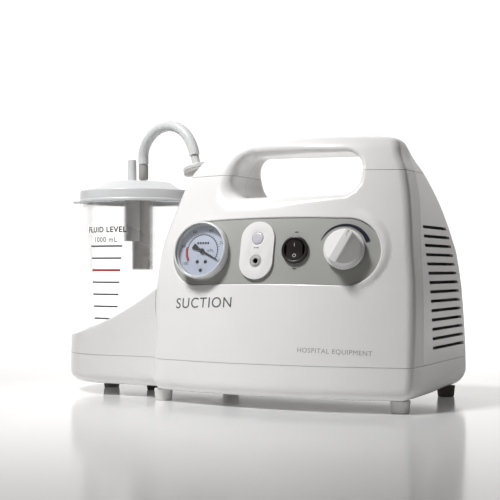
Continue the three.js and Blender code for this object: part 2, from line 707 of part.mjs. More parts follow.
function powerBoard() {
  return box([66, 44, 16], [112, 45.6, 40])
    .add(box([70, 45, 20], [84, 58, 34]))
    .add(box([90, 45, 22], [106, 54, 30]));
}

/** Mains inlet: a flange outside the rear wall and a body with its socket through it. */
function powerInlet() {
  const { x, z, width, height, flangeWidth, flangeHeight, depth } = INLET;
  const face = between(z - flangeHeight / 2, "back") + GAP;
  /** Box of a width and height about the inlet's middle, between two depths. */
  const across = (wide, high, from, to) =>
    box([x - wide / 2, from, z - high / 2], [x + wide / 2, to, z + high / 2]);
  const body = across(width, height, face - depth, face + 1);
  const flange = across(flangeWidth, flangeHeight, face, face + 1.6);
  const socket = across(22, 15, face - 15, face + 5);
  let inlet = body.add(flange).subtract(socket);
  for (const [side, up] of [[-7, -1], [0, 2], [7, -1]]) {
    inlet = inlet.add(box([x + side - 1, face - 16, z + up - 2], [x + side + 1, face - 6, z + up + 2]));
  }
  return inlet;
}

// ---- Assembly -----------------------------------------------------------------------------------------
const whitePlastic = { color: "#e9e9e6", roughness: 0.35, metalness: 0 };
const greyPlastic = { color: "#a2a29f", roughness: 0.5, metalness: 0 };
const darkPlastic = { color: "#1c1c1e", roughness: 0.4, metalness: 0 };
const paleRubber = { color: "#b9b7b2", roughness: 0.8, metalness: 0 };
const clearPlastic = { color: "#dfe6e8", roughness: 0.08, transparent: true, opacity: 0.35 };
const hoseVinyl = { color: "#d5d9d6", roughness: 0.3, transparent: true, opacity: 0.7 };
const aluminium = { color: "#b4b6b8", roughness: 0.45, metalness: 0.9 };
const steel = { color: "#8c8f93", roughness: 0.35, metalness: 1 };
const laminations = { color: "#5b5e63", roughness: 0.5, metalness: 0.8 };
const boardGreen = { color: "#2f6b46", roughness: 0.6, metalness: 0 };
const copperCoil = { color: "#9a5b32", roughness: 0.4, metalness: 0.8 };

const pump = new THREE.Group();
const housing = new THREE.Group();
housing.position.set(HOUSING_X, HOUSING_Y, 0);
pump.add(housing);

function add(parent, name, manifold, look) {
  const mesh = new THREE.Mesh(geometryOf(manifold), new THREE.MeshStandardMaterial(look));
  mesh.name = name;
  parent.add(mesh);
  return mesh;
}

function groupAt(matrix) {
  const group = new THREE.Group();
  matrix.decompose(group.position, group.quaternion, group.scale);
  housing.add(group);
  return group;
}

const shell = housingShell();
add(housing, "base_tray", baseTray(), whitePlastic);
add(housing, "front_shell", frontShell(shell), whitePlastic);
add(housing, "rear_shell", rearShell(shell), whitePlastic);
add(housing, "handle_front_cover", handleFrontCover(shell), whitePlastic);
add(housing, "handle_rear_cover", handleRearCover(shell), whitePlastic);
add(housing, "jar_holder", jarHolder(), whitePlastic);
add(housing, "control_panel", controlPanel(), greyPlastic);
for (const [name, [x, y]] of Object.entries(FEET)) {
  add(housing, name, foot(), paleRubber).position.set(x, y, 0);
}

const gauge = groupAt(gaugePlace());
add(gauge, "gauge_case", gaugeCase(), darkPlastic);
add(gauge, "gauge_bezel", gaugeBezel(), whitePlastic);
add(gauge, "gauge_dial", gaugeDial(), { color: "#c5cad8", roughness: 0.6, metalness: 0 });
add(gauge, "gauge_needle", gaugeNeedle(), darkPlastic);
add(gauge, "gauge_window", gaugeWindow(), clearPlastic);

const plate = groupAt(panelPlace(PLATE_X));
add(plate, "indicator_plate", indicatorPlate(), whitePlastic);
add(plate, "indicator_lens", indicatorLens(), { color: "#b5b2c2", roughness: 0.2, metalness: 0 });
add(plate, "auxiliary_jack", auxiliaryJack(), darkPlastic);

const powerSwitch = groupAt(panelPlace(SWITCH_X));
add(powerSwitch, "switch_body", switchBody(), darkPlastic);
add(powerSwitch, "switch_rocker", switchRocker(), darkPlastic);

const regulator = groupAt(panelPlace(KNOB_X));
add(regulator, "vacuum_knob", vacuumKnob(), whitePlastic);
add(regulator, "valve_stem", valveStem(), steel);
add(regulator, "valve_body", valveBody(), aluminium);

const jarAxis = groupAt(new THREE.Matrix4().setPosition(JAR_X, 0, 0));
add(jarAxis, "jar", jar(), clearPlastic);
add(jarAxis, "jar_lid", jarLid(), whitePlastic);
add(jarAxis, "lid_seal", lidSeal(), paleRubber);
add(jarAxis, "drop_tube", dropTube(), clearPlastic);
add(jarAxis, "float_chamber", floatChamber(), clearPlastic);
add(jarAxis, "float_valve", floatValve(), whitePlastic);
add(jarAxis, "hose_sleeve", hoseSleeve(), greyPlastic);

const filter = groupAt(filterPlace());
add(filter, "filter_lower", filterLower(), greyPlastic);
add(filter, "filter_upper", filterUpper(), whitePlastic);
add(housing, "filter_elbow", filterElbow(), greyPlastic);
add(housing, "suction_hose", tube(HOSE_ROUTE, HOSE_RADIUS, 20, 10), hoseVinyl);

add(housing, "mount_plate", mountPlate(), steel);
DAMPERS.forEach(([x, y], i) => add(housing, `damper_${i + 1}`, damper(), darkPlastic).position.set(x, y, 0));
add(housing, "crankcase", crankcase(), aluminium);
add(housing, "motor_end_bell", motorEndBell(), aluminium);
add(housing, "stator", stator(), laminations);
add(housing, "rotor", rotor(), laminations);
add(housing, "motor_shaft", motorShaft(), steel);
add(housing, "bearing_left", bearing(-45.6), steel);
add(housing, "bearing_right", bearing(35.8), steel);
add(housing, "cooling_fan", coolingFan(), darkPlastic);
add(housing, "eccentric", eccentric(), steel);
add(housing, "piston_rod", pistonRod(), aluminium);
add(housing, "cylinder", cylinder(), aluminium);
add(housing, "cylinder_head", cylinderHead(), aluminium);
add(housing, "transformer", transformer(), copperCoil);
add(housing, "power_board", powerBoard(), boardGreen);
add(housing, "power_inlet", powerInlet(), darkPlastic);

export default pump;
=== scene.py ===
"""Portable hospital suction pump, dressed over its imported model.

Lengths are in millimetres in the housing's own frame: the origin is on the ground in the middle of the
housing, +Z up, front towards -Y. They become metres in the row frame when a mesh is made.
"""
import math

import bpy
import numpy as np
from mathutils import Matrix, Vector


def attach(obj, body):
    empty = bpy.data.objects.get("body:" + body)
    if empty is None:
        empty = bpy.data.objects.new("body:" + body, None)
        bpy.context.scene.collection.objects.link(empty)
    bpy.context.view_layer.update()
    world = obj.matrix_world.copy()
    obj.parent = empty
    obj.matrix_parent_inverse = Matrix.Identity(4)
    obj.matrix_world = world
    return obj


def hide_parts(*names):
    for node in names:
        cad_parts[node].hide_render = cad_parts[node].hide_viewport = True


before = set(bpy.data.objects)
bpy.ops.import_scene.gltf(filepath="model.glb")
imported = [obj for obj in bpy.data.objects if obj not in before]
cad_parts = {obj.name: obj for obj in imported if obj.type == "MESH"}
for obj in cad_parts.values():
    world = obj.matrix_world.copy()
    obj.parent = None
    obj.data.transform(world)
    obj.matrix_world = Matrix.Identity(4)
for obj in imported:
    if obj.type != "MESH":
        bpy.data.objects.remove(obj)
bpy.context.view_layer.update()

# ---- Driving dimensions -------------------------------------------------------------------------------
MM = 0.001
HOUSING_MIDDLE = np.array([60.0, 7.0, 0.0])  # in the row frame
WALL = 2.8
GAP = 0.35  # open joint between two mouldings
TRAY_TOP = 38
HANDLE_SEAM = 203
BASE = 10.5  # underside of the housing

# Plan of the housing at each height: z, left, right, front at the corners, back, and how far the front bows.
STATIONS = np.array([
    (10.5, -120.0, 126.7, -85.6, 86.2, 16), (38, -120.4, 127, -81, 85.6, 16), (96, -121, 125, -71, 82.4, 16),
    (133, -118.3, 121, -64.8, 78.6, 16), (152, -114.5, 119, -60.6, 68, 16), (176, -107, 116, -54.8, 49, 15),
    (203, -97.6, 109.8, -48, 22.5, 13.5), (217, -87.8, 104, -44, 8, 12), (226, -79.5, 101.6, -40.6, -1, 11),
    (232, -70, 98.5, -36.5, -7, 10), (235.4, -59, 90, -31.5, -12, 9), (237, -44, 76, -25, -17, 7),
])
# Height and depth of the joint between the front and rear mouldings.
PARTING = np.array([
    (5, -57), (33, -54), (60, -50), (103, -45), (133, -39), (185, -24), (203, -21), (240, -14),
], float)
BOW_INSET = 10  # from each side to the end of the front's bow
FRONT_RIGHT_CORNER = 5.5
FRONT_LEFT_CORNER = 12
BACK_CORNER = 14
BASE_EDGE = 11
BASE_EDGE_GROWTH = {"by": 6, "depths": (-30, 60)}  # more rounding of the lower edge towards the back
TOP_EDGE = 5
CROWN_TOP = 237.4
CROWN_DROP = 0.00045  # per millimetre squared from the middle
BAND_TURN = 0.07  # how far the front moulding's side turns towards the front
REAR_TURN = -0.02  # the same for the rear moulding's side
# How far the front left corner stands out past the left side, and where that grows and ends.
LEFT_FLARE = {"by": 5.5, "heights": (44, 104), "depths": (-50, -10)}

OPENING = {"left": -50, "right": 73, "bottom": 182, "top": 220, "corner": 16}
OPENING_SLANT = {"by": 0.25, "across": (-50, 10)}  # the opening's left side leans out with height
OPENING_EDGE = {"left": 14, "right": 4, "across": (-40, 70)}
VENT = {"count": 14, "top": 155, "pitch": 8, "height": 2.7, "front": -26, "back_top": 42, "back_bottom": 67}
INLET = {"x": 80, "z": 84, "width": 28, "height": 21}

PANEL = {"left": -102, "right": 95.5, "z": 134.6, "height": 57, "recess": 1.2, "thick": 2,
         "lean": math.radians(12)}
POCKET_EDGE = 1.4  # rounded edge of the pocket that the panel sits in
POCKET_GAP = 0.4  # from the panel's outline to the pocket
COLLAR = {"height": 1.7, "beyond": (3.5, 9), "across": (66, 94)}
GAUGE = {"x": -67.3, "z": 133.8, "radius": 25.7, "raised": 1.5, "seat": 7}  # faces straight ahead
PLATE_X = -13
SWITCH_X = 22.6
KNOB_X = 65.5
LENS_UP = 10.5
JACK_UP = -9.5
ROCKER_TILT = math.radians(8)
KNOB_TURN = math.radians(-28)
NEEDLE_TURN = math.radians(-27)
NEEDLE_SWEEP = math.radians(242)

JAR_X = -181.5
HOLDER = {"radius": 64.5, "rim_low": 55, "rim_rise": 46, "rim_power": 1.85, "rim_end": -124, "end": -84,
          "rim_edge": 2.2, "well_edge": 1.6, "fillet": 3}
WELL_RADIUS = 55
WELL_FLOOR = 23.7
JAR = {"radius": 53.5, "wall": 2.5, "bottom": 24.2, "top": 190.5, "flange": 57, "flange_z": 181.4,
       "print_facing": math.radians(-94), "mark_pitch": 11.45, "top_mark": 140.4}
LID = {"skirt": 56.5, "bottom": 183.4, "shoulder": 195.5, "dome_low": 43, "dome_high": 32.5, "top": 204}
LID_UNDERSIDE = 201.2
TAB_TURN = math.radians(24)
PATIENT = {"x": 0, "y": -10, "top": 226, "radius": 4, "bore": 2.7}
VACUUM = {"x": 1, "y": 10, "top": 222, "radius": 3, "bore": 1.8}
CHAMBER = {"x": 0.5, "y": 9, "radius": 10.25, "bore": 8.6, "bottom": 118}

FEET = {
    "foot_front_left": (-112, -68.5), "foot_front_right": (112, -68.5), "foot_rear_left": (-112, 68.5),
    "foot_rear_right": (112, 68.5), "foot_jar_outer": (-216, 8), "foot_jar_inner": (-163, 3),
}
FOOT_TOP = 10.2

# The filter's rise and reach are the heights of its middle and of its upper port's end.
FILTER = {"tilt": math.radians(15), "radius": 14, "thick": 7, "port": 4, "base": (-106.5, -6, 200),
          "rise": 15, "reach": 29}
HOSE_RADIUS = 5.2
# Suction hose from the lid to the filter, up and over in one arch.
HOSE_ROUTE = [
    (-180.5, 10, 223.4), (-180.6, 10, 227), (-180.5, 9.8, 231), (-179.7, 9.3, 235.4), (-177.9, 8.6, 240.3),
    (-175, 7.7, 245), (-171.1, 6.7, 249.3), (-166.4, 5.5, 253), (-160.9, 4.1, 256), (-154.7, 2.6, 257.9),
    (-148.2, 1.1, 258.7), (-141.6, -0.4, 258.2), (-135.2, -1.8, 256.3), (-129.3, -3, 253),
    (-124.2, -4.1, 248.6), (-120.1, -5, 243.4), (-117, -5.6, 237.8), (-115.1, -5.9, 232.8),
    (-114.2, -6, 228.4),
]


# ---- Objects and camera --------------------------------------------------------------------------------
def added(name, data):
    """A new object in the scene."""
    made = bpy.data.objects.new(name, data)
    bpy.context.scene.collection.objects.link(made)
    return made


def make_camera():
    data = bpy.data.cameras.new("camera")
    data.lens = 81.36
    data.sensor_width = 36
    camera = added("camera", data)
    camera.location = (0.4616, -0.956, 0.1187)
    pitch = math.radians(0.96)
    ahead = Vector((-0.4305 * math.cos(pitch), 0.9026 * math.cos(pitch), math.sin(pitch)))
    camera.rotation_euler = ahead.to_track_quat("-Z", "Y").to_euler()
    bpy.context.scene.camera = camera


# ---- Shapes: a pair of an array of points and a list of faces ------------------------------------------
def to_mesh(name, shape):
    points, faces = shape
    mesh = bpy.data.meshes.new(name)
    mesh.from_pydata(((points + HOUSING_MIDDLE) * MM).tolist(), [], faces)
    mesh.update()
    return mesh


def metre_transform(matrix):
    """A millimetre placement in the housing's frame as one on finished meshes in metres."""
    shift = Matrix.Translation(Vector(HOUSING_MIDDLE) * MM)
    scaled = matrix.copy()
    scaled.translation = matrix.translation * MM
    return shift @ scaled @ shift.inverted()


def joined(*shapes):
    points = np.vstack([shape[0] for shape in shapes])
    faces = []
    start = 0
    for part_points, part_faces in shapes:
        faces.extend(tuple(int(i) + start for i in face) for face in part_faces)
        start += len(part_points)
    return points, faces


def placed(shape, matrix):
    turn = np.array(matrix)
    return shape[0] @ turn[:3, :3].T + turn[:3, 3], shape[1]


def shifted(shape, x, y, z):
    return shape[0] + np.array([x, y, z]), shape[1]


def laid(shape, order=(2, 0, 1)):
    """The shape with its axes in another order: by default X, Y and Z become Y, Z and X."""
    return outward((shape[0][:, order], shape[1]))


def flipped(shape):
    return shape[0], [tuple(reversed([int(i) for i in face])) for face in shape[1]]


def rounded(corners, closed=True, steps=4):
    """Outline through (x, y, radius) corners, each turned on an arc of its radius."""
    outline = []
    count = len(corners)
    for i, corner in enumerate(corners):
        at = Vector(corner[:2])
        radius = corner[2] if len(corner) > 2 else 0
        if radius == 0 or (not closed and i in (0, count - 1)):
            outline.append(tuple(at))
            continue
        back = Vector(corners[i - 1][:2]) - at
        on = Vector(corners[(i + 1) % count][:2]) - at
        angle = back.angle(on)
        reach = min(radius / math.tan(angle / 2), back.length * 0.49, on.length * 0.49)
        radius = reach * math.tan(angle / 2)
        centre = at + (back.normalized() + on.normalized()).normalized() * (radius / math.sin(angle / 2))
        start = at + back.normalized() * reach - centre
        end = at + on.normalized() * reach - centre
        swing = math.atan2(start.x * end.y - start.y * end.x, start.dot(end))
        for k in range(steps + 1):
            c, s = math.cos(swing * k / steps), math.sin(swing * k / steps)
            outline.append((centre.x + c * start.x - s * start.y, centre.y + s * start.x + c * start.y))
    return outline


def rounded_box(width, height, radius, steps=6):
    x, y = width / 2, height / 2
    return rounded([(x, -y, radius), (x, y, radius), (-x, y, radius), (-x, -y, radius)], steps=steps)


def turned(corners, segments=72, steps=4):
    """Turned piece about +Z from (radius, height, fillet) corners.

    A profile that starts off the axis closes on itself.
    """
    closed = corners[0][0] > 0
    profile = rounded(corners, closed, steps)
    points = []
    rings = []
    for radius, height in profile:
        if radius < 1e-6:
            rings.append([len(points)] * segments)
            points.append((0, 0, height))
            continue
        rings.append(list(range(len(points), len(points) + segments)))
        for i in range(segments):
            angle = 2 * math.pi * i / segments
            points.append((radius * math.cos(angle), radius * math.sin(angle), height))
    pairs = list(zip(rings, rings[1:] + (rings[:1] if closed else [])))
    faces = []
    for low, high in pairs if closed else pairs[: len(rings) - 1]:
        for i in range(segments):
            j = (i + 1) % segments
            face = list(dict.fromkeys((low[i], low[j], high[j], high[i])))
            if len(face) > 2:
                faces.append(tuple(face))
    return outward((np.array(points, float), faces))


def outward(shape):
    """The shape with its faces turned out, judged by its volume."""
    points, faces = shape
    volume = 0.0
    for face in faces:
        for a, b in zip(face[1:-1], face[2:]):
            volume += np.dot(points[face[0]], np.cross(points[a], points[b]))
    return flipped(shape) if volume < 0 else shape


def slab(outline, low, high):
    """Flat piece of an outline in X and Y between two heights."""
    count = len(outline)
    points = np.array([(x, y, low) for x, y in outline] + [(x, y, high) for x, y in outline], float)
    faces = [tuple(reversed(range(count))), tuple(range(count, 2 * count))]
    for i in range(count):
        j = (i + 1) % count
        faces.append((i, j, j + count, i + count))
    return outward((points, faces))


def rod(radius, low, high, segments=48):
    return turned([(0, low), (radius, low), (radius, high), (0, high)], segments)


def block(low, high):
    (x0, y0, z0), (x1, y1, z1) = low, high
    return slab([(x0, y0), (x1, y0), (x1, y1), (x0, y1)], z0, z1)


def baked(holder):
    """What an object's data and modifiers make, as a new mesh."""
    return bpy.data.meshes.new_from_object(holder.evaluated_get(bpy.context.evaluated_depsgraph_get()))


def lettering(text, size, bold=0.0):
    """Flat letters in X and Y, their middle at the origin."""
    curve = bpy.data.curves.new("lettering", "FONT")
    curve.body = text
    curve.size = size
    curve.offset = bold
    curve.align_x = "CENTER"
    curve.align_y = "CENTER"
    curve.space_character = 1.12
    holder = added("working", curve)
    mesh = baked(holder)
    points = np.array([tuple(v.co) for v in mesh.vertices])
    faces = [tuple(p.vertices) for p in mesh.polygons]
    bpy.data.objects.remove(holder)
    bpy.data.meshes.remove(mesh)
    return points, faces


def printed(shape, height, thick=0.06):
    """Flat faces made into a thin raised print at a height."""
    points, faces = shape
    count = len(points)
    low = points + np.array([0, 0, height])
    high = points + np.array([0, 0, height + thick])
    made = [tuple(reversed(face)) for face in faces] + [tuple(i + count for i in face) for face in faces]
    edges = {}
    for face in faces:
        for a, b in zip(face, face[1:] + face[:1]):
            edges[(a, b)] = True
    made += [(a, b, b + count, a + count) for a, b in edges if (b, a) not in edges]
    return np.vstack([low, high]), made


def mark(low, high):
    """Flat rectangle between two corners."""
    (x0, y0), (x1, y1) = low, high
    return np.array([(x0, y0, 0), (x1, y0, 0), (x1, y1, 0), (x0, y1, 0)], float), [(0, 1, 2, 3)]


def arc_band(inner, outer, start, end, steps=40, taper=None):
    """Flat band between two radii. A taper gives its thickness at the start and the end instead of inner."""
    points = []
    for i in range(steps + 1):
        t = i / steps
        angle = start + (end - start) * t
        low = inner if taper is None else outer - (taper[0] + (taper[1] - taper[0]) * t)
        points.append((low * math.cos(angle), low * math.sin(angle), 0))
        points.append((outer * math.cos(angle), outer * math.sin(angle), 0))
    return np.array(points), [(2 * i, 2 * i + 1, 2 * i + 3, 2 * i + 2) for i in range(steps)]


# ---- Booleans and finish of meshes ---------------------------------------------------------------------
def combined(mesh, tool, operation):
    """The mesh cut, joined or crossed with a tool mesh. Both are used up."""
    holders = [added("working", part) for part in (mesh, tool)]
    change = holders[0].modifiers.new("change", "BOOLEAN")
    change.solver = "MANIFOLD"
    change.operation = operation
    change.object = holders[1]
    made = baked(holders[0])
    for holder, old in zip(holders, (mesh, tool)):
        bpy.data.objects.remove(holder)
        bpy.data.meshes.remove(old)
    return made


def cut(mesh, shape):
    return combined(mesh, to_mesh("tool", shape), "DIFFERENCE")


def kept(mesh, shape):
    return combined(mesh, to_mesh("tool", shape), "INTERSECT")


def softened(mesh, width, segments=3, angle=30):
    """The mesh with its sharp edges rounded over."""
    holder = added("working", mesh)
    bevel = holder.modifiers.new("bevel", "BEVEL")
    bevel.width = width * MM
    bevel.segments = segments
    bevel.limit_method = "ANGLE"
    bevel.angle_limit = math.radians(angle)
    made = baked(holder)
    bpy.data.objects.remove(holder)
    bpy.data.meshes.remove(mesh)
    return made


def smoothed(mesh):
    """The mesh shaded smooth, with its edges sharp past the angle of a fillet's steps."""
    mesh.shade_smooth()
    mesh.set_sharp_from_angle(angle=math.radians(32))
    return mesh


def piece(name, mesh, material, body="root", replaces=()):
    """A finished piece of the visual model, on the body that carries it."""
    shown = added(name, mesh)
    mesh.materials.clear()
    mesh.materials.append(material)
    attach(shown, body)
    if replaces:
        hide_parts(*replaces)


# ---- Housing form: signed distances, negative inside -----------------------------------------------------
def monotone_slopes(x, y):
    """Slopes of the smooth curve through points that never overshoots them."""
    step = np.diff(x)[:, None]
    rise = np.diff(y, axis=0) / step
    near, far = 2 * step[1:] + step[:-1], step[1:] + 2 * step[:-1]
    same = rise[:-1] * rise[1:] > 0
    safe = np.where(same, rise[:-1] * rise[1:], 1)
    inner = np.where(same, (near + far) * safe / (near * rise[1:] + far * rise[:-1] + ~same), 0)
    return np.vstack([rise[:1], inner, rise[-1:]])


def smooth_curve(x, knots, values, slopes):
    x = np.clip(x, knots[0], knots[-1])
    i = np.clip(np.searchsorted(knots, x) - 1, 0, len(knots) - 2)
    step = (knots[i + 1] - knots[i])[..., None]
    t = (x - knots[i])[..., None] / step
    ends = (1 + 2 * t) * (1 - t) ** 2 * values[i] + t * t * (3 - 2 * t) * values[i + 1]
    return ends + step * (t * (1 - t) ** 2 * slopes[i] - t * t * (1 - t) * slopes[i + 1])


STATION_SLOPES = monotone_slopes(STATIONS[:, 0], STATIONS[:, 1:])
PARTING_SLOPES = monotone_slopes(PARTING[:, 0], PARTING[:, 1:])


def section(z):
    return smooth_curve(z, STATIONS[:, 0], STATIONS[:, 1:], STATION_SLOPES)


def parting(z):
    return smooth_curve(z, PARTING[:, 0], PARTING[:, 1:], PARTING_SLOPES)[..., 0]


def round_join(a, b, radius):
    """Where both solids are, with their shared edge rounded."""
    rounding = np.hypot(np.maximum(a + radius, 0), np.maximum(b + radius, 0))
    return np.minimum(np.maximum(a, b), -radius) + rounding


def round_union(a, b, radius):
    """Either solid, with the corner between them filled to a radius."""
    return -round_join(-a, -b, radius)


def fade(value, start, end):
    """From 0 at a start to 1 at an end, smoothly."""
    t = np.clip((value - start) / (end - start), 0, 1)
    return t * t * (3 - 2 * t)


def rectangle_distance(x, z, left, right, bottom, top, corner):
    across = np.abs(x - (left + right) / 2) - ((right - left) / 2 - corner)
    up = np.abs(z - (bottom + top) / 2) - ((top - bottom) / 2 - corner)
    outside = np.hypot(np.maximum(across, 0), np.maximum(up, 0))
    return outside + np.minimum(np.maximum(across, up), 0) - corner


def panel_distance(x, z):
    """Distance from the control panel's outline, seen square on."""
    radius = PANEL["height"] / 2
    straight = (PANEL["right"] - PANEL["left"]) / 2 - radius
    across = np.abs(x - (PANEL["left"] + PANEL["right"]) / 2) - straight
    return np.hypot(np.maximum(across, 0), (z - PANEL["z"]) / math.cos(PANEL["lean"])) - radius


def collar(x, z):
    """Raised collar round the panel's right end."""
    side = fade(x, *COLLAR["across"])
    return COLLAR["height"] * side * (1 - fade(panel_distance(x, z), *COLLAR["beyond"]))


def body_field(x, y, z, with_collar=True):
    """Outside of the housing, without its handle opening."""
    left, right, front, back, bow = np.moveaxis(section(z), -1, 0)
    lean = np.moveaxis(section(z + 0.4) - section(z - 0.4), -1, 0) / 0.8
    half = (right - left) / 2 - BOW_INSET
    across = (x - (left + right) / 2) / half
    front_y = front - bow * (1 - across**2)
    if with_collar:
        front_y = front_y - collar(x, z)
    ahead = (front_y - y) / np.sqrt(1 + (2 * bow * across / half) ** 2 + lean[2] ** 2)
    behind = (y - back) / np.sqrt(1 + lean[3] ** 2)
    seam = parting(z)
    draft = np.where(y < seam, BAND_TURN * (seam - y), REAR_TURN * (y - seam))
    right_side = (x - right + draft) / np.sqrt(1 + lean[1] ** 2)
    flare = LEFT_FLARE["by"] * fade(z, *LEFT_FLARE["heights"]) * (1 - fade(y, *LEFT_FLARE["depths"]))
    left_side = (left - flare - x) / np.sqrt(1 + lean[0] ** 2)
    deep = back - front
    back_corner = np.minimum(BACK_CORNER, 0.45 * deep)
    left_corner = np.minimum(FRONT_LEFT_CORNER, 0.35 * deep)
    right_corner = np.minimum(FRONT_RIGHT_CORNER, 0.35 * deep)
    plan = round_join(ahead, left_side, left_corner)
    plan = np.maximum(plan, round_join(ahead, right_side, right_corner))
    plan = np.maximum(plan, round_join(behind, np.maximum(left_side, right_side), back_corner))
    top = z - (CROWN_TOP - CROWN_DROP * x * x)
    base_edge = BASE_EDGE + BASE_EDGE_GROWTH["by"] * fade(y, *BASE_EDGE_GROWTH["depths"])
    return round_join(round_join(plan, top, TOP_EDGE), BASE - z, base_edge)


def housing_field(x, y, z):
    """Outside of the housing with its handle opening."""
    middle = (OPENING["bottom"] + OPENING["top"]) / 2
    slant = OPENING_SLANT["by"] * (z - middle) * (1 - fade(x, *OPENING_SLANT["across"]))
    hole = rectangle_distance(x - slant, z, **OPENING)
    left, right = OPENING_EDGE["left"], OPENING_EDGE["right"]
    edge = left - (left - right) * fade(x, *OPENING_EDGE["across"])
    return round_join(body_field(x, y, z), -hole, edge)


def holder_plan(x, y):
    """Distance from the jar holder's outline: half a circle, then straight towards the housing."""
    return np.hypot(np.minimum(x - JAR_X, 0), y) - HOLDER["radius"]


def holder_field(x, y, z):
    """Jar holder: a drum whose rim sweeps up towards the housing, round a well for the jar."""
    start = JAR_X - HOLDER["radius"]
    run = HOLDER["rim_end"] - start
    power = HOLDER["rim_power"]
    t = np.clip((x - start) / run, 0, 1.2)
    rim = HOLDER["rim_low"] + HOLDER["rim_rise"] * t ** power
    slope = HOLDER["rim_rise"] * power * t ** (power - 1) / run
    top = (z - rim) / np.sqrt(1 + slope**2)
    side = round_join(holder_plan(x, y), BASE - z, BASE_EDGE)
    well = -np.maximum(np.hypot(x - JAR_X, y) - WELL_RADIUS, WELL_FLOOR - z)
    solid = round_join(round_join(side, top, HOLDER["rim_edge"]), well, HOLDER["well_edge"])
    return np.maximum(solid, x - HOLDER["end"])


def tray_field(x, y, z):
    """Outside of the base tray, left 5 mm too tall for its top to be cut flat."""
    drum = round_join(holder_plan(x, y), BASE - z, BASE_EDGE)
    drum = np.maximum(drum, x - HOLDER["end"])
    return np.maximum(round_union(body_field(x, y, z), drum, HOLDER["fillet"]), z - TRAY_TOP - 5)


def sampled(field, low, high, step):
    """The field on a grid, with the grid's axes."""
    axes = [np.arange(a, b + step, step) for a, b in zip(low, high)]
    values = field(axes[0][:, None, None], axes[1][None, :, None], axes[2][None, None, :])
    return np.broadcast_to(values, [len(a) for a in axes]), axes


def net(grid, level=0.0):
    """Closed surface where a sampled field has a level: one point in each crossed cell, joined in fours."""
    values, axes = grid
    values = values - level
    inside = values < 0
    shape = np.array(inside.shape) - 1
    corners = [(i, j, k) for i in (0, 1) for j in (0, 1) for k in (0, 1)]
    filled = sum(
        inside[i:i + shape[0], j:j + shape[1], k:k + shape[2]].astype(np.int8) for i, j, k in corners
    )
    cells = np.argwhere((filled > 0) & (filled < 8))
    total = np.zeros((len(cells), 3))
    count = np.zeros(len(cells))
    for a in corners:
        for axis in range(3):
            if a[axis]:
                continue
            b = list(a)
            b[axis] = 1
            low = values[tuple((cells + a).T)]
            high = values[tuple((cells + b).T)]
            crossed = (low < 0) != (high < 0)
            part = np.where(crossed, low / np.where(crossed, low - high, 1), 0)
            at = np.tile(np.array(a, float), (len(cells), 1))
            at[:, axis] = part
            total += at * crossed[:, None]
            count += crossed
    step = np.array([axis[1] - axis[0] for axis in axes])
    origin = np.array([axis[0] for axis in axes])
    points = origin + (cells + total / count[:, None]) * step
    number = np.full(shape, -1, np.int64)
    number[tuple(cells.T)] = np.arange(len(cells))
    quads = []
    for axis in range(3):
        u, w = (axis + 1) % 3, (axis + 2) % 3
        ahead = np.take(inside, range(1, inside.shape[axis]), axis)
        here = np.take(inside, range(0, inside.shape[axis] - 1), axis)
        for crossing, turned_over in ((here & ~ahead, False), (~here & ahead, True)):
            edges = np.argwhere(crossing)
            at_u, at_w = edges[:, u], edges[:, w]
            edges = edges[(at_u > 0) & (at_w > 0) & (at_u < shape[u]) & (at_w < shape[w])]
            ring = []
            for du, dw in ((1, 1), (0, 1), (0, 0), (1, 0)):
                cell = edges.copy()
                cell[:, u] -= du
                cell[:, w] -= dw
                ring.append(number[tuple(cell.T)])
            quads.append(np.stack(ring[::-1] if turned_over else ring, 1))
    return points, np.vstack(quads)


def gradient(field, points, reach=0.05):
    """Slope of a field along each axis at each point."""
    slopes = []
    for axis in range(3):
        shift = np.zeros(3)
        shift[axis] = reach
        slopes.append((field(*(points + shift).T) - field(*(points - shift).T)) / (2 * reach))
    return np.stack(slopes, 1)


def settled(shape, field, level=0.0, most=1.2):
    """The net's points moved onto the level itself."""
    points, faces = shape
    for _ in range(3):
        slope = gradient(field, points)
        move = slope * ((field(*points.T) - level) / np.maximum((slope**2).sum(1), 0.05))[:, None]
        length = np.linalg.norm(move, axis=1, keepdims=True)
        points = points - move * np.minimum(1, most / np.maximum(length, 1e-9))
    return points, faces


def walled(field, low, high, fine, coarse):
    """Hollow moulding: a fine outside and a plain inside."""
    outside = settled(net(sampled(field, low, high, fine)), field)
    inside = net(sampled(field, low, high, coarse), -WALL)
    return joined((outside[0], outside[1].tolist()), flipped(inside))


SKIN = 0.2  # how near a point is to a field's surface to count as on it


def shaded_by(mesh, field, angle=35):
    """Smooth shading straight from the field on the outer skin, and flat faces everywhere else."""
    mesh.shade_smooth()
    points = np.empty(len(mesh.vertices) * 3)
    mesh.vertices.foreach_get("co", points)
    points = points.reshape(-1, 3) / MM - HOUSING_MIDDLE
    slope = gradient(field, points, 0.2)
    slope /= np.maximum(np.linalg.norm(slope, axis=1, keepdims=True), 1e-9)
    on_skin = np.abs(field(*points.T)) < SKIN
    corner = np.empty(len(mesh.loops), np.int64)
    mesh.loops.foreach_get("vertex_index", corner)
    sizes = np.empty(len(mesh.polygons), np.int64)
    mesh.polygons.foreach_get("loop_total", sizes)
    owner = np.repeat(np.arange(len(sizes)), sizes)
    flat = np.empty(len(mesh.polygons) * 3)
    mesh.polygons.foreach_get("normal", flat)
    flat = flat.reshape(-1, 3)[owner]
    whole = np.ones(len(sizes), bool)
    np.logical_and.at(whole, owner, on_skin[corner])
    follows = (slope[corner] * flat).sum(1) > math.cos(math.radians(angle))
    normals = np.where((whole[owner] & follows)[:, None], slope[corner], flat)
    mesh.normals_split_custom_set(normals.tolist())
    return mesh


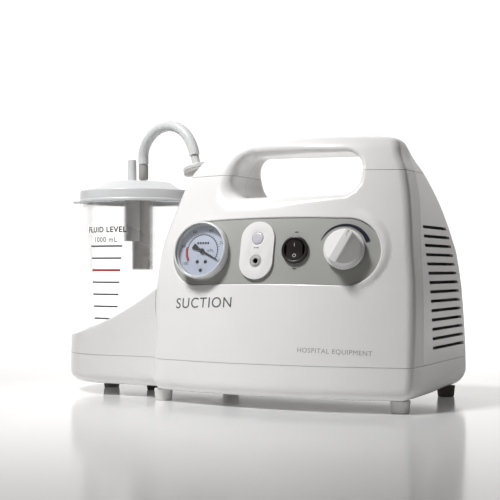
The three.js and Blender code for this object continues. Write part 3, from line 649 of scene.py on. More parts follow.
# ---- Materials -------------------------------------------------------------------------------------------
def linear(colour):
    """Linear colour of a hexadecimal one."""
    parts = [int(colour[i:i + 2], 16) / 255 for i in (0, 2, 4)]
    return [c / 12.92 if c <= 0.04045 else ((c + 0.055) / 1.055) ** 2.4 for c in parts]


def add_node(tree, kind, **values):
    """A new node with some of its inputs set. An underscore in a name stands for a space."""
    node = tree.nodes.new(kind)
    for name, value in values.items():
        node.inputs[name.replace("_", " ")].default_value = value
    return node


def material(name, colour, roughness, grain=0.4, relief=0.02, mottle=0.03, shine=0.06, metallic=0.0,
             coat=0.0, clear=0.0, ior=1.46, alpha=1.0):
    """Moulded or cast surface: grain and relief in millimetres, a slight mottle and an uneven shine."""
    made = bpy.data.materials.new(name)
    made.use_nodes = True
    tree, links = made.node_tree, made.node_tree.links
    shader = tree.nodes["Principled BSDF"]
    place = add_node(tree, "ShaderNodeTexCoord")

    cloud = add_node(tree, "ShaderNodeTexNoise", Scale=22, Detail=4)
    links.new(place.outputs["Object"], cloud.inputs["Vector"])
    ramp = add_node(tree, "ShaderNodeValToRGB")
    base = linear(colour)
    for stop, position, tone in zip(ramp.color_ramp.elements, (0.3, 0.7), (1 - mottle, 1 + mottle)):
        stop.position = position
        stop.color = [min(1, c * tone) for c in base] + [1]
    links.new(cloud.outputs["Fac"], ramp.inputs["Fac"])
    links.new(ramp.outputs["Color"], shader.inputs["Base Color"])

    speckle = add_node(tree, "ShaderNodeTexNoise", Scale=1 / (grain * MM), Detail=3)
    links.new(place.outputs["Object"], speckle.inputs["Vector"])
    bump = add_node(tree, "ShaderNodeBump", Strength=0.5, Distance=relief * MM)
    links.new(speckle.outputs["Fac"], bump.inputs["Height"])
    links.new(bump.outputs["Normal"], shader.inputs["Normal"])

    spread = add_node(tree, "ShaderNodeMapRange", To_Min=max(0, roughness - shine),
                      To_Max=min(1, roughness + shine))
    links.new(cloud.outputs["Fac"], spread.inputs["Value"])
    links.new(spread.outputs["Result"], shader.inputs["Roughness"])

    shader.inputs["Metallic"].default_value = metallic
    shader.inputs["Coat Weight"].default_value = coat
    shader.inputs["Coat Roughness"].default_value = 0.12
    shader.inputs["Transmission Weight"].default_value = clear
    shader.inputs["IOR"].default_value = ior
    shader.inputs["Alpha"].default_value = alpha
    return made


WHITE = material("white_moulding", "eeedec", 0.3, grain=0.5, relief=0.012, mottle=0.012, coat=0.15)
GREY = material("grey_panel", "a9a9a5", 0.46, grain=0.35, relief=0.03, mottle=0.025)
BLACK = material("black_moulding", "282322", 0.3, grain=0.4, relief=0.02, mottle=0.15, coat=0.1)
# Dark rubber for the dampers, also used as painted shade on the rear feet and the jar's inner foot.
DARK_RUBBER = material("dark_rubber", "5c534e", 0.7, grain=0.6, relief=0.05, mottle=0.15)
# Pale rubber for the lid's seal, also used as painted light on the two front feet.
PALE_RUBBER = material("pale_rubber", "e2e0dd", 0.62, grain=0.6, relief=0.05, mottle=0.05)
# Mid grey rubber: painted half shade on the jar's outer foot.
HALF_SHADED_RUBBER = material("half_shaded_foot_rubber", "8d857c", 0.62, grain=0.6, relief=0.05, mottle=0.08)
LID_GREY = material("lid_moulding", "dcddde", 0.34, grain=0.5, relief=0.015, mottle=0.02, coat=0.1)
SMOKE = material("tube_moulding", "cecbc8", 0.28, grain=0.5, relief=0.01, mottle=0.03, clear=0.15)
CLEAR = material("clear_moulding", "fbfdfe", 0.04, grain=3, relief=0.01, mottle=0.01, shine=0.015, clear=1.0,
                 ior=1.2, alpha=0.3)
WINDOW = material("gauge_glass", "f2f5f8", 0.05, grain=3, relief=0.01, mottle=0.01, shine=0.02, alpha=0.035)
HOSE = material("hose_vinyl", "e6e8e7", 0.3, grain=6, relief=0.006, mottle=0.02, coat=0.2, clear=0.08,
                ior=1.38)
SLEEVE = material("sleeve_rubber", "a9a8a6", 0.5, grain=0.6, relief=0.03, mottle=0.04)
FILTER_WHITE = material("filter_moulding", "d9d9d8", 0.34, grain=0.5, relief=0.012, mottle=0.02)
FILTER_GREY = material("filter_base", "bdbcba", 0.36, grain=0.5, relief=0.012, mottle=0.03)
BEZEL = material("bezel_moulding", "e6e7e9", 0.14, grain=0.8, relief=0.01, mottle=0.02, coat=0.5)
DIAL = material("dial_print", "bcc3d3", 0.5, grain=0.3, relief=0.008, mottle=0.012)
INK = material("black_ink", "0b0b10", 0.42, grain=0.15, relief=0.01, mottle=0.2)
NAVY = material("navy_ink", "14132a", 0.4, grain=0.15, relief=0.01, mottle=0.12)
GREY_INK = material("grey_ink", "58595b", 0.45, grain=0.15, relief=0.01, mottle=0.08)
PALE_INK = material("pale_ink", "a5a4a4", 0.45, grain=0.15, relief=0.01, mottle=0.05)
RED_INK = material("red_ink", "b8403c", 0.42, grain=0.15, relief=0.01, mottle=0.06)
LILAC = material("lilac_lens", "cfcbd3", 0.36, grain=1.0, relief=0.01, mottle=0.03, coat=0.2)
ALUMINIUM = material("cast_aluminium", "b8babc", 0.42, grain=0.5, relief=0.09, mottle=0.06, metallic=0.9)
STEEL = material("plain_steel", "8c8f93", 0.32, grain=0.25, relief=0.03, mottle=0.08, metallic=1.0)
CORE = material("core_laminations", "5b5e63", 0.45, grain=0.5, relief=0.08, mottle=0.12, metallic=0.8)
COPPER = material("wound_copper", "9a5b32", 0.38, grain=0.5, relief=0.12, mottle=0.12, metallic=0.8)
BOARD = material("circuit_board", "2f6b46", 0.5, grain=0.8, relief=0.05, mottle=0.15)

# CAD nodes that show as they are.
NODE_LOOKS = [
    (STEEL, ("mount_plate", "motor_shaft", "bearing_left", "bearing_right", "eccentric", "valve_stem")),
    (ALUMINIUM, ("crankcase", "motor_end_bell", "piston_rod", "cylinder", "cylinder_head", "valve_body")),
    (CORE, ("stator", "rotor")),
    (BLACK, ("cooling_fan", "power_inlet")),
    (COPPER, ("transformer",)),
    (BOARD, ("power_board",)),
    (DARK_RUBBER, ("damper_1", "damper_2", "damper_3", "damper_4")),
    (FILTER_GREY, ("filter_elbow",)),
]


def dress_nodes():
    for look, names in NODE_LOOKS:
        for name in names:
            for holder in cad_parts[name].material_slots:
                holder.material = look


# ---- Housing mouldings -------------------------------------------------------------------------------------
def layer(low, high):
    """Everything between two heights."""
    return block((-300, -200, low), (300, 200, high))


def front_zone(shift):
    """Everything in front of the joint between the mouldings, moved back by a shift."""
    heights = np.linspace(-5, 260, 90)
    outline = [(float(y) + shift, float(z)) for y, z in zip(parting(heights), heights)]
    outline = [(-160, -5)] + outline + [(-160, 260)]
    return laid(slab(outline, -200, 200))


def panel_frame(u, v):
    """Point, outward direction and up direction on the panel's outline plane."""
    lean = PANEL["lean"]
    out = np.array([0, -math.cos(lean), math.sin(lean)])
    up = np.array([0, math.sin(lean), math.cos(lean)])
    middle = np.array([(PANEL["left"] + PANEL["right"]) / 2, -80, PANEL["z"]])
    return middle + np.multiply.outer(u, [1, 0, 0]) + np.multiply.outer(v, up), out


def carried(points, out, field, level=0.0):
    """Points carried along a way onto a level of a field."""
    for _ in range(12):
        off = field(*points.T) - level
        slope = (field(*(points + 0.1 * out).T) - field(*(points - 0.1 * out).T)) / 0.2
        points = points - np.multiply.outer(off / np.maximum(slope, 0.3), out)
    return points


def onto_front(u, v, field, level=0.0):
    """Points of the panel's plane carried square to it onto a level of the front."""
    return carried(*panel_frame(u, v), field, level)


def stadium(grow, count=40):
    """Outline of the panel and its outward directions."""
    radius = PANEL["height"] / 2
    reach = (PANEL["right"] - PANEL["left"]) / 2 - radius
    spots, ways = [], []
    for side, start in ((1, -math.pi / 2), (-1, math.pi / 2)):
        for i in range(count + 1):
            angle = start + math.pi * i / count
            way = np.array([math.cos(angle), math.sin(angle)])
            spots.append(np.array([side * reach, 0]) + (radius + grow) * way)
            ways.append(way)
        for i in range(1, count):
            spots.append(np.array([side * reach * (1 - 2 * i / count), side * (radius + grow)]))
            ways.append(np.array([0, side]))
    return np.array(spots), np.array(ways)


def panel_prism(grow):
    spots, _ = stadium(grow)
    prism = slab([tuple(s) for s in spots], -30, 50)
    points, out = panel_frame(prism[0][:, 0], prism[0][:, 1])
    return outward((points + np.multiply.outer(prism[0][:, 2], out), prism[1]))


def pocket_rim():
    """Rounded edge of the pocket that the control panel sits in, flush with the front."""
    spots, ways = stadium(POCKET_GAP)
    out = panel_frame(0, 0)[1]
    edge, steps = POCKET_EDGE, 6
    profile = [(edge, 0)]
    for i in range(1, steps + 1):
        angle = math.pi / 2 * i / steps
        profile.append((edge * (1 - math.sin(angle)), edge * (1 - math.cos(angle))))
    profile += [(0, WALL), (edge, WALL)]
    rings = []
    for offset, depth in profile:
        spot = spots + ways * offset
        rings.append(onto_front(spot[:, 0], spot[:, 1], body_field) - out * depth)
    count, around = len(profile), len(spots)
    points = np.stack(rings, 1).reshape(-1, 3)
    faces = []
    for k in range(around):
        low, high = k * count, ((k + 1) % around) * count
        for i in range(count):
            j = (i + 1) % count
            faces.append((low + i, low + j, high + j, high + i))
    return outward((points, faces))


def vent_slots():
    """Slots through the right side, each longer than the one above it."""
    slots = []
    for i in range(VENT["count"]):
        share = math.sqrt(i / (VENT["count"] - 1))
        back = VENT["back_top"] + (VENT["back_bottom"] - VENT["back_top"]) * share
        outline = rounded_box(back - VENT["front"], VENT["height"], VENT["height"] / 2 - 0.01, steps=5)
        middle, height = (back + VENT["front"]) / 2, VENT["top"] - i * VENT["pitch"]
        slots.append(shifted(laid(slab(outline, 100, 140)), 0, middle, height))
    return joined(*slots)


def housing_pieces():
    low, high = (-131, -108, 6), (133, 92, 242)
    whole = to_mesh("housing", walled(housing_field, low, high, 2.4, 4))
    front, rear = front_zone(-GAP / 2), front_zone(GAP / 2)
    middle = layer(TRAY_TOP + GAP / 2, HANDLE_SEAM - GAP / 2)
    top = layer(HANDLE_SEAM + GAP / 2, 260)

    shell = cut(kept(kept(whole.copy(), front), middle), panel_prism(POCKET_GAP + POCKET_EDGE))
    shell = shaded_by(shell, housing_field)
    piece("front_shell_moulding", shell, WHITE, replaces=["front_shell"])
    rim = shaded_by(to_mesh("rim", pocket_rim()), housing_field, 20)
    piece("panel_pocket_rim", rim, WHITE)

    inlet = block((INLET["x"] - INLET["width"] / 2, 60, INLET["z"] - INLET["height"] / 2),
                  (INLET["x"] + INLET["width"] / 2, 110, INLET["z"] + INLET["height"] / 2))
    port = shifted(laid(rod(5.6, 0, 40)), -125, FILTER["base"][1], 189.2)
    shell = cut(kept(whole.copy(), middle), rear)
    shell = cut(cut(cut(shell, vent_slots()), inlet), port)
    piece("rear_shell_moulding", shaded_by(shell, housing_field), WHITE, replaces=["rear_shell"])

    covers = {"front": kept(kept(whole.copy(), front), top), "rear": cut(kept(whole, top), rear)}
    for side, cover in covers.items():
        piece(f"handle_{side}_moulding", shaded_by(cover, housing_field), WHITE,
              replaces=[f"handle_{side}_cover"])


def tray_piece():
    tray = to_mesh("tray", walled(tray_field, (-252, -108, 6), (133, 92, 46), 2.2, 4))
    tray = kept(tray, layer(0, TRAY_TOP - GAP / 2))
    piece("base_tray_moulding", shaded_by(tray, tray_field), WHITE,
          replaces=["base_tray"])


def holder_piece():
    shape = settled(net(sampled(holder_field, (-252, -70, 6), (-76, 70, 124), 1.7)), holder_field)
    holder = to_mesh("holder", (shape[0], shape[1].tolist()))
    holder = kept(holder, layer(TRAY_TOP + GAP / 2, 200))
    holder = cut(holder, housing_space())
    piece("jar_holder_moulding", shaded_by(holder, holder_field), WHITE, replaces=["jar_holder"])


def housing_space():
    """The housing's own space, a little larger all round."""
    shape = settled(net(sampled(body_field, (-133, -110, 4), (133, 94, 242), 4), 0.4), body_field, 0.4, 2)
    return shape[0], shape[1].tolist()


def panel_spot(x):
    """Depth of the panel's face and its turn with the bow, at x across it."""
    heights = STATIONS[:, 0]
    left, right, front, _, bow = [float(np.interp(PANEL["z"], heights, row)) for row in STATIONS[:, 1:].T]
    middle, half = (left + right) / 2, (right - left) / 2 - BOW_INSET
    depth = front - bow * (1 - ((x - middle) / half) ** 2) + PANEL["recess"]
    return depth, math.atan(2 * bow * (x - middle) / half**2)


def panel_place(x, up=0.0):
    """Placement on the control panel: +Z out of it, +Y up it, at x across it and turned with its bow."""
    depth, turn = panel_spot(x)
    lean = Matrix.Rotation(math.pi / 2 - PANEL["lean"], 4, "X")
    foot = Matrix.Translation((x, depth, PANEL["z"])) @ Matrix.Rotation(turn, 4, "Z")
    return foot @ lean @ Matrix.Translation((0, up, 0))


def gauge_place():
    """Placement of the gauge, square to the housing: +Z out of it, +Y up it."""
    lean = Matrix.Rotation(math.pi / 2 - PANEL["lean"], 4, "X")
    depth = panel_spot(GAUGE["x"])[0] - GAUGE["raised"]
    return Matrix.Translation((GAUGE["x"], depth, GAUGE["z"])) @ lean


def smooth_body(x, y, z):
    return body_field(x, y, z, with_collar=False)


def panel_piece():
    """Grey control panel: a bowed plate with a hole for each fitting."""
    spare = 3  # beyond the outline, which the plate is then cut to
    half_width, half_height = (PANEL["right"] - PANEL["left"]) / 2 + spare, PANEL["height"] / 2 + spare
    across, up = np.linspace(-half_width, half_width, 84), np.linspace(-half_height, half_height, 26)
    u, v = [a.ravel() for a in np.meshgrid(across, up, indexing="ij")]
    recess, thick = PANEL["recess"], PANEL["thick"]
    top = onto_front(u, v, smooth_body, -recess)
    bottom = top - panel_frame(0, 0)[1] * thick
    rows, columns, count = len(across), len(up), len(u)
    faces = []
    for i in range(rows - 1):
        for j in range(columns - 1):
            a, b = i * columns + j, (i + 1) * columns + j
            faces.append((a, b, b + 1, a + 1))
            faces.append((a + count + 1, b + count + 1, b + count, a + count))
    edge = [i * columns for i in range(rows)] + [(rows - 1) * columns + j for j in range(1, columns)]
    edge += [i * columns + columns - 1 for i in range(rows - 2, -1, -1)] + list(range(columns - 2, 0, -1))
    for a, b in zip(edge, edge[1:] + edge[:1]):
        faces.append((b, a, a + count, b + count))
    plate = to_mesh("panel", outward((np.vstack([top, bottom]), faces)))
    plate = kept(plate, panel_prism(0.15))
    seat_radius = GAUGE["radius"] + 0.3
    plate = cut(plate, placed(rod(seat_radius, -14, 30, 96), gauge_place()))
    holes = [(PLATE_X, LENS_UP, 5.7), (PLATE_X, JACK_UP, 5.7), (SWITCH_X, 0, 10.8), (KNOB_X, 0, 4.6)]
    for x, rise, radius in holes:
        plate = cut(plate, placed(rod(radius, -12, 12), panel_place(x, rise)))
    plate = shaded_by(plate, lambda x, y, z: smooth_body(x, y, z) + recess)
    piece("control_panel_plate", plate, GREY, replaces=["control_panel"])
    inner, low, high = 20.5, -GAUGE["seat"], 0.5
    seat = turned([(inner, low), (seat_radius, low), (seat_radius, high), (inner, high)], 96)
    fitting("gauge_seat_ring", seat, gauge_place(), GREY)


def front_print(name, text, size, x, z, look):
    """Plain lettering laid on the front of the housing."""
    points, faces = printed(lettering(text, size), 0, 0.08)
    out = panel_frame(0, 0)[1]
    up = np.array([0, out[2], -out[1]])
    low = np.array([x, -80, z]) + np.outer(points[:, 0], [1, 0, 0]) + np.outer(points[:, 1], up)
    low = carried(low, out, body_field) + np.outer(points[:, 2] + 0.04, out)
    piece(name, smoothed(to_mesh(name, (low, faces))), look)


# ---- Panel fittings ---------------------------------------------------------------------------------------
def fitting(name, shape, place, look, body="root", replaces=()):
    """A piece made from a shape at its placement."""
    piece(name, smoothed(to_mesh(name, placed(shape, place))), look, body, replaces)


def radial(shape, angle, distance, turn=0.0):
    """A flat mark carried out from the middle at an angle."""
    spin = Matrix.Rotation(turn, 4, "Z")
    out = Matrix.Translation((distance * math.cos(angle), distance * math.sin(angle), 0))
    return placed(shape, out @ spin)


def gauge_scale():
    """Everything black on the dial: an arc with its marks and numbers, the unit, and a row of blocks."""
    count, long_every, numbers = 30, 5, 6
    marks = [arc_band(14.5, 15.2, NEEDLE_TURN, NEEDLE_TURN + NEEDLE_SWEEP, 72)]
    for i in range(count + 1):
        angle = NEEDLE_TURN + NEEDLE_SWEEP * i / count
        length = 2.2 if i % long_every == 0 else 1.2
        marks.append(radial(mark((0, -0.2), (length, 0.2)), angle, 15.1, angle))
    for i in range(numbers):
        angle = NEEDLE_TURN + NEEDLE_SWEEP * i / (numbers - 1)
        marks.append(radial(lettering(str(20 * i), 3.9), angle, 19.8))
    marks.append(shifted(lettering("kPa", 4), 8, 0.4, 0))
    marks += [shifted(mark((-0.9, -1), (0.9, 1)), 2.5 * i, 7.2, 0) for i in range(-2, 3)]
    return joined(*marks)


def gauge_pieces():
    place = gauge_place()
    radius = GAUGE["radius"]
    case = turned([
        (0, -34), (3, -34), (3, -26), (20, -26, 1), (20, 0.8), (24.2, 0.8, 0.4), (24.2, 7, 0.3),
        (23.2, 7, 0.3), (23.2, 2.2), (0, 2.2),
    ])
    fitting("gauge_case_can", case, place, FILTER_WHITE, replaces=["gauge_case"])
    bezel = turned([
        (24.5, 0.8), (radius, 0.8, 0.4), (radius, 9.2, 1.2), (radius - 1, 10.4, 0.6), (23.9, 10.4, 0.5),
        (23.6, 9.2, 0.3), (24.5, 8.9),
    ], 96)
    fitting("gauge_bezel_ring", bezel, place, BEZEL, replaces=["gauge_bezel"])
    glass = turned([
        (0, 9.4), (9, 9.1), (16, 8.4), (24.1, 7.3, 0.3), (24.1, 8.2, 0.4), (16, 9.7, 6), (9, 10.4, 6),
        (0, 10.7),
    ])
    fitting("gauge_window_dome", glass, place, WINDOW, replaces=["gauge_window"])
    face = 3.4  # height of the dial's face
    dial = turned([(1.5, 2.6), (22.9, 2.6), (22.9, face, 0.2), (1.5, face)])
    fitting("gauge_dial_plate", dial, place, DIAL, replaces=["gauge_dial"])
    fitting("gauge_scale_print", printed(gauge_scale(), face), place, INK)
    red = arc_band(15.2, 16.8, math.radians(167), math.radians(213), 24)
    fitting("gauge_red_print", printed(red, face, 0.08), place, RED_INK)
    screw = turned([(0, face), (1.5, face), (1.5, 4.1, 0.3), (0, 4.2)], 24)
    heads = joined(shifted(screw, -4, -9.6, 0), shifted(screw, 4, -9.6, 0), shifted(screw, 0, -17.3, 0))
    fitting("gauge_dial_screws", heads, place, BLACK)

    low, high = 4.2, 4.8
    blade = slab([(-6, -1.4), (-6, 1.4), (-1, 0.9), (18, 0.3), (18, -0.3), (-1, -0.9)], low, high)
    weight = rounded([(-4.6, -1.4, 0.3), (-4.6, 1.4, 0.3), (-9.8, 2.8, 0.5), (-10.4, -2.8, 0.5)])
    weight = slab(weight, low, high)
    hub = turned([(0, 4), (2.3, 4), (2.3, 5.3, 0.4), (0, 5.4)], 32)
    spin = Matrix.Rotation(NEEDLE_TURN, 4, "Z")
    fitting("gauge_needle_blade", joined(blade, weight, hub), place @ spin, INK, "needle", ["gauge_needle"])


def indicator_pieces():
    place = panel_place(PLATE_X)
    plate = to_mesh("plate", placed(slab(rounded_box(32, 51, 15.9, 16), 0.3, 1.5), place))
    for up in (LENS_UP, JACK_UP):
        plate = cut(plate, placed(rod(5.6, -3, 5), panel_place(PLATE_X, up)))
    piece("indicator_plate_cover", smoothed(softened(plate, 0.45)), WHITE, replaces=["indicator_plate"])
    lens = turned([(0, -8), (5.3, -8), (5.3, 1.8, 0.5), (3.4, 2.2, 2), (0, 2.3)], 48)
    fitting("indicator_lens_dome", lens, panel_place(PLATE_X, LENS_UP), LILAC, replaces=["indicator_lens"])
    jack = turned([
        (0, -14), (5.3, -14), (5.3, 1.5, 0.2), (3.8, 1.5), (3.8, 2.3, 0.4), (2.6, 2.3, 0.4), (2.2, 1.6),
        (2.2, -8), (0, -8),
    ], 48)
    fitting("auxiliary_jack_ring", jack, panel_place(PLATE_X, JACK_UP), FILTER_GREY,
            replaces=["auxiliary_jack"])
    bore = turned([(0, -7.9), (2.15, -7.9), (2.15, 1.5), (1.8, 1.5), (1.8, -7), (0, -7)], 32)
    fitting("auxiliary_jack_bore", bore, panel_place(PLATE_X, JACK_UP), BLACK)
    marks = [mark((-1.2 + 1.7 * i, 1.7), (-0.1 + 1.7 * i, 2.7)) for i in (-1, 0, 1)]
    fitting("indicator_print", printed(joined(*marks), 1.5), place, GREY_INK)


def switch_pieces():
    place = panel_place(SWITCH_X)
    body = turned([
        (0, -24), (10.4, -24), (10.4, 0.6), (12, 0.6, 0.3), (12, 2.5, 1), (10.9, 2.9, 0.6), (9.4, 2.7, 0.4),
        (9.4, -6), (0, -6),
    ], 64)
    fitting("switch_housing", body, place, BLACK, replaces=["switch_body"])
    rocker = kept(to_mesh("rocker", rod(8.7, -3.4, 3.8, 64)), block((-7.2, -9, -4), (7.2, 9, 5)))
    hollow = shifted(laid(rod(26, -12, 12, 96)), 0, 0, 28.6)
    rocker = softened(cut(rocker, hollow), 0.45)
    tilt = place @ Matrix.Rotation(ROCKER_TILT, 4, "X")
    rocker.transform(metre_transform(tilt))
    piece("switch_rocker_cap", smoothed(rocker), BLACK, "rocker", ["switch_rocker"])
    signs = []
    for sign, side in ((mark((-0.22, -1.4), (0.22, 1.4)), 1), (arc_band(1.1, 1.5, 0, 2 * math.pi, 32), -1)):
        slope = Matrix.Rotation(math.radians(10 * side), 4, "X")
        signs.append(placed(printed(sign, 0), Matrix.Translation((0, 4.6 * side, 3.06)) @ slope))
    fitting("switch_signs", joined(*signs), tilt, FILTER_WHITE, "rocker")
    label = joined(*[printed(mark((-1.6, y - 0.3), (1.6, y + 0.3)), 0.02) for y in (15.9, -15.9)])
    fitting("switch_label_print", label, place, INK)


def knob_pieces():
    place = panel_place(KNOB_X)
    spin = Matrix.Rotation(KNOB_TURN, 4, "Z")
    flange = turned([
        (0, 1.2), (17.2, 1.2, 0.4), (17.5, 4.4, 0.9), (16.3, 5.4, 0.5), (15.9, 5.2, 0.3), (15.6, 6.6, 0.6),
        (14.9, 7, 0.4), (0, 7),
    ], 96)
    fitting("vacuum_knob_skirt", flange, place @ spin, WHITE, "knob")
    cap = to_mesh("cap", turned([(0, 6.6), (15, 6.6), (14.5, 18.6), (0, 18.6)], 96))
    ridge = rounded([
        (-15.5, 6), (-15.5, 9.5), (-4, 17.2, 2), (-3.6, 18.5, 1), (3.6, 18.5, 1), (4, 17.2, 2), (15.5, 9.5),
        (15.5, 6),
    ])
    cap = softened(kept(cap, laid(slab(ridge, -20, 20), (0, 2, 1))), 0.8, 4, 25)
    groove = block((-0.55, 9.5, 17.6), (0.55, 20, 20))
    cap = cut(cap, groove)
    cap.transform(metre_transform(place @ spin))
    piece("vacuum_knob_cap", smoothed(cap), WHITE, "knob", ["vacuum_knob"])
    arc = arc_band(0, 22.7, math.radians(158), math.radians(21), 60, taper=(0.25, 3.9))
    fitting("regulator_arc_print", printed(arc, -0.12, 0.2), place, NAVY)


# ---- Jar, lid and what hangs in it -----------------------------------------------------------------------
def on_jar(part=None):
    """Placement on the jar's own axis, or where a part of the lid stands."""
    x, y = (part["x"], part["y"]) if part else (0, 0)
    return Matrix.Translation((JAR_X + x, y, 0))


def wrapped(shape, rise):
    """A flat print wrapped round the jar, its middle at a rise above the top mark."""
    points, faces = shape
    angle = JAR["print_facing"] + points[:, 0] / JAR["radius"]
    out = JAR["radius"] + points[:, 2]
    height = JAR["top_mark"] + rise + points[:, 1]
    return np.stack([out * np.cos(angle), out * np.sin(angle), height], 1), faces


def bar(half, high, steps=12):
    """Thin flat bar cut into short lengths so that it can be wrapped."""
    across = np.linspace(-half, half, steps + 1)
    points = np.array([(x, y, 0) for x in across for y in (-high / 2, high / 2)])
    return points, [(2 * i, 2 * i + 2, 2 * i + 3, 2 * i + 1) for i in range(steps)]


def jar_pieces():
    outer, flange, inner = JAR["radius"], JAR["flange"], JAR["radius"] - JAR["wall"]
    low, middle, high = JAR["bottom"], JAR["flange_z"], JAR["top"]
    body = turned([
        (0, low + 1), (40, low, 4), (outer, low, 6), (outer, middle, 0.8), (flange, middle, 0.6),
        (flange, middle + 1.6, 0.6), (outer, middle + 1.6, 0.4), (outer, high, 0.8), (inner, high, 0.8),
        (inner, low + 2.6, 5), (0, low + 3.2),
    ], 128, 6)
    fitting("collection_jar", body, on_jar(), CLEAR, "jar", ["jar"])
    jar_prints()


def jar_prints():
    """The fluid level scale: nine marks, the third of them red, under two lines of lettering."""
    count, red_mark = 9, 2
    black = []
    for i in range(count):
        if i != red_mark:
            black.append(wrapped(printed(bar(18.6 - 0.9 * i, 1.6), 0.03, 0.08), -JAR["mark_pitch"] * i))
    black.append(wrapped(printed(lettering("1000 mL", 7, 0.06), 0.1, 0.08), 6))
    fitting("jar_graduations", joined(*black), on_jar(), GREY_INK, "jar")
    title = wrapped(printed(lettering("FLUID LEVEL", 7.4, 0.18), 0.1, 0.08), 15.5)
    fitting("jar_title_print", title, on_jar(), INK, "jar")
    red = wrapped(printed(bar(16.6, 2.1), 0.03, 0.1), -JAR["mark_pitch"] * red_mark)
    fitting("jar_fill_line", red, on_jar(), RED_INK, "jar")


def lid_pieces():
    skirt, bottom, shoulder, top = LID["skirt"], LID["bottom"], LID["shoulder"], LID["top"]
    skin = turned([
        (0, top + 0.2), (LID["dome_high"], top, 3), (LID["dome_low"] + 2, shoulder + 0.4, 2.5),
        (skirt - 0.3, shoulder, 1.6), (skirt, bottom + 3, 0.4), (skirt + 0.5, bottom + 2.2, 0.6),
        (skirt + 0.5, bottom, 0.5), (53.9, bottom, 0.3), (53.9, 193, 0.5), (41.6, 193, 1.5),
        (31.6, LID_UNDERSIDE + 0.3, 1.5), (0, LID_UNDERSIDE + 0.3),
    ], 128, 5)
    lid = to_mesh("lid", placed(skin, on_jar()))
    tab = rounded([(-63, -7, 2.5), (-55, -9, 0.5), (-55, 9, 0.5), (-63, 7, 2.5)])
    tab = slab(tab, bottom + 0.1, bottom + 1.9)
    additions = [placed(tab, on_jar() @ Matrix.Rotation(TAB_TURN, 4, "Z"))]
    for port in (PATIENT, VACUUM):
        radius = port["radius"]
        spigot = turned([
            (0, top - 1), (radius + 2.2, top - 1), (radius + 2.2, top + 0.6, 0.4),
            (radius + 0.4, top + 1.4, 1), (radius, port["top"], 0.6), (0, port["top"]),
        ], 48)
        additions.append(placed(spigot, on_jar(port)))
    for shape in additions:
        lid = combined(lid, to_mesh("tool", shape), "UNION")
    for port in (PATIENT, VACUUM):
        lid = cut(lid, placed(rod(port["bore"], 190, 240), on_jar(port)))
    piece("jar_lid_cap", smoothed(lid), LID_GREY, "lid", ["jar_lid"])
    low, high = JAR["top"] + 0.3, 192.7
    seal = turned([(51.2, low, 0.6), (53.3, low, 0.6), (53.3, high, 0.6), (51.2, high, 0.6)], 96)
    fitting("lid_seal_ring", seal, on_jar(), PALE_RUBBER, "lid", ["lid_seal"])


def lid_tubes():
    """The drop tube and the float in its chamber under the lid, and the hose's cuff on top."""
    drop = turned([(5.5, 146, 0.5), (7.5, 146, 0.5), (7.5, LID_UNDERSIDE), (5.5, LID_UNDERSIDE)], 56)
    fitting("drop_tube_pipe", drop, on_jar(PATIENT), SMOKE, "lid", ["drop_tube"])
    radius, bore, bottom = CHAMBER["radius"], CHAMBER["bore"], CHAMBER["bottom"]
    place = on_jar(CHAMBER)
    cup = to_mesh("cup", placed(turned([
        (0, bottom), (radius, bottom, 1), (radius, LID_UNDERSIDE), (bore, LID_UNDERSIDE),
        (bore, bottom + 2, 0.8), (0, bottom + 2),
    ], 64), place))
    for left, low, high in ((-20, bottom + 3, bottom + 9), (5, 186, 194)):
        cup = cut(cup, placed(block((left, -2.5, low), (20, 2.5, high)), place))
    piece("float_chamber_cup", smoothed(cup), SMOKE, "lid", ["float_chamber"])
    low = bottom + 2.4
    high = low + 30
    valve = turned([(0, low), (6, low, 1), (8, low + 2, 1), (8, high - 4, 1.5), (4, high, 1), (0, high)], 48)
    fitting("float_valve_bob", valve, place, LID_GREY, "float", ["float_valve"])
    sleeve = turned([(3.3, 208), (4.8, 208, 0.6), (4.8, 223, 0.8), (3.3, 223, 0.5)], 48)
    fitting("hose_sleeve_cuff", sleeve, on_jar(VACUUM), SLEEVE, "lid", ["hose_sleeve"])


def catmull(points, per_span=6):
    """Smooth line through points."""
    made = []
    ends = [2 * points[0] - points[1]] + list(points) + [2 * points[-1] - points[-2]]
    for i in range(1, len(ends) - 2):
        a, b, c, d = ends[i - 1:i + 3]
        for k in range(per_span):
            t = k / per_span
            bend = (2 * a - 5 * b + 4 * c - d) * t**2 + (3 * b - a - 3 * c + d) * t**3
            made.append(0.5 * (2 * b + (c - a) * t + bend))
    return made + [points[-1]]


def hose_piece():
    route = [(np.array(p, float) + HOUSING_MIDDLE) * MM for p in HOSE_ROUTE]
    line = catmull(route)
    curve = bpy.data.curves.new("suction_hose_line", "CURVE")
    curve.dimensions = "3D"
    curve.bevel_depth = HOSE_RADIUS * MM
    curve.bevel_resolution = 10
    curve.use_fill_caps = True
    spline = curve.splines.new("POLY")
    spline.points.add(len(line) - 1)
    for point, at in zip(spline.points, line):
        point.co = (*at, 1)
    spline.use_smooth = True
    curve.materials.append(HOSE)
    hose = added("suction_hose_tube", curve)
    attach(hose, "lid")
    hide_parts("suction_hose")


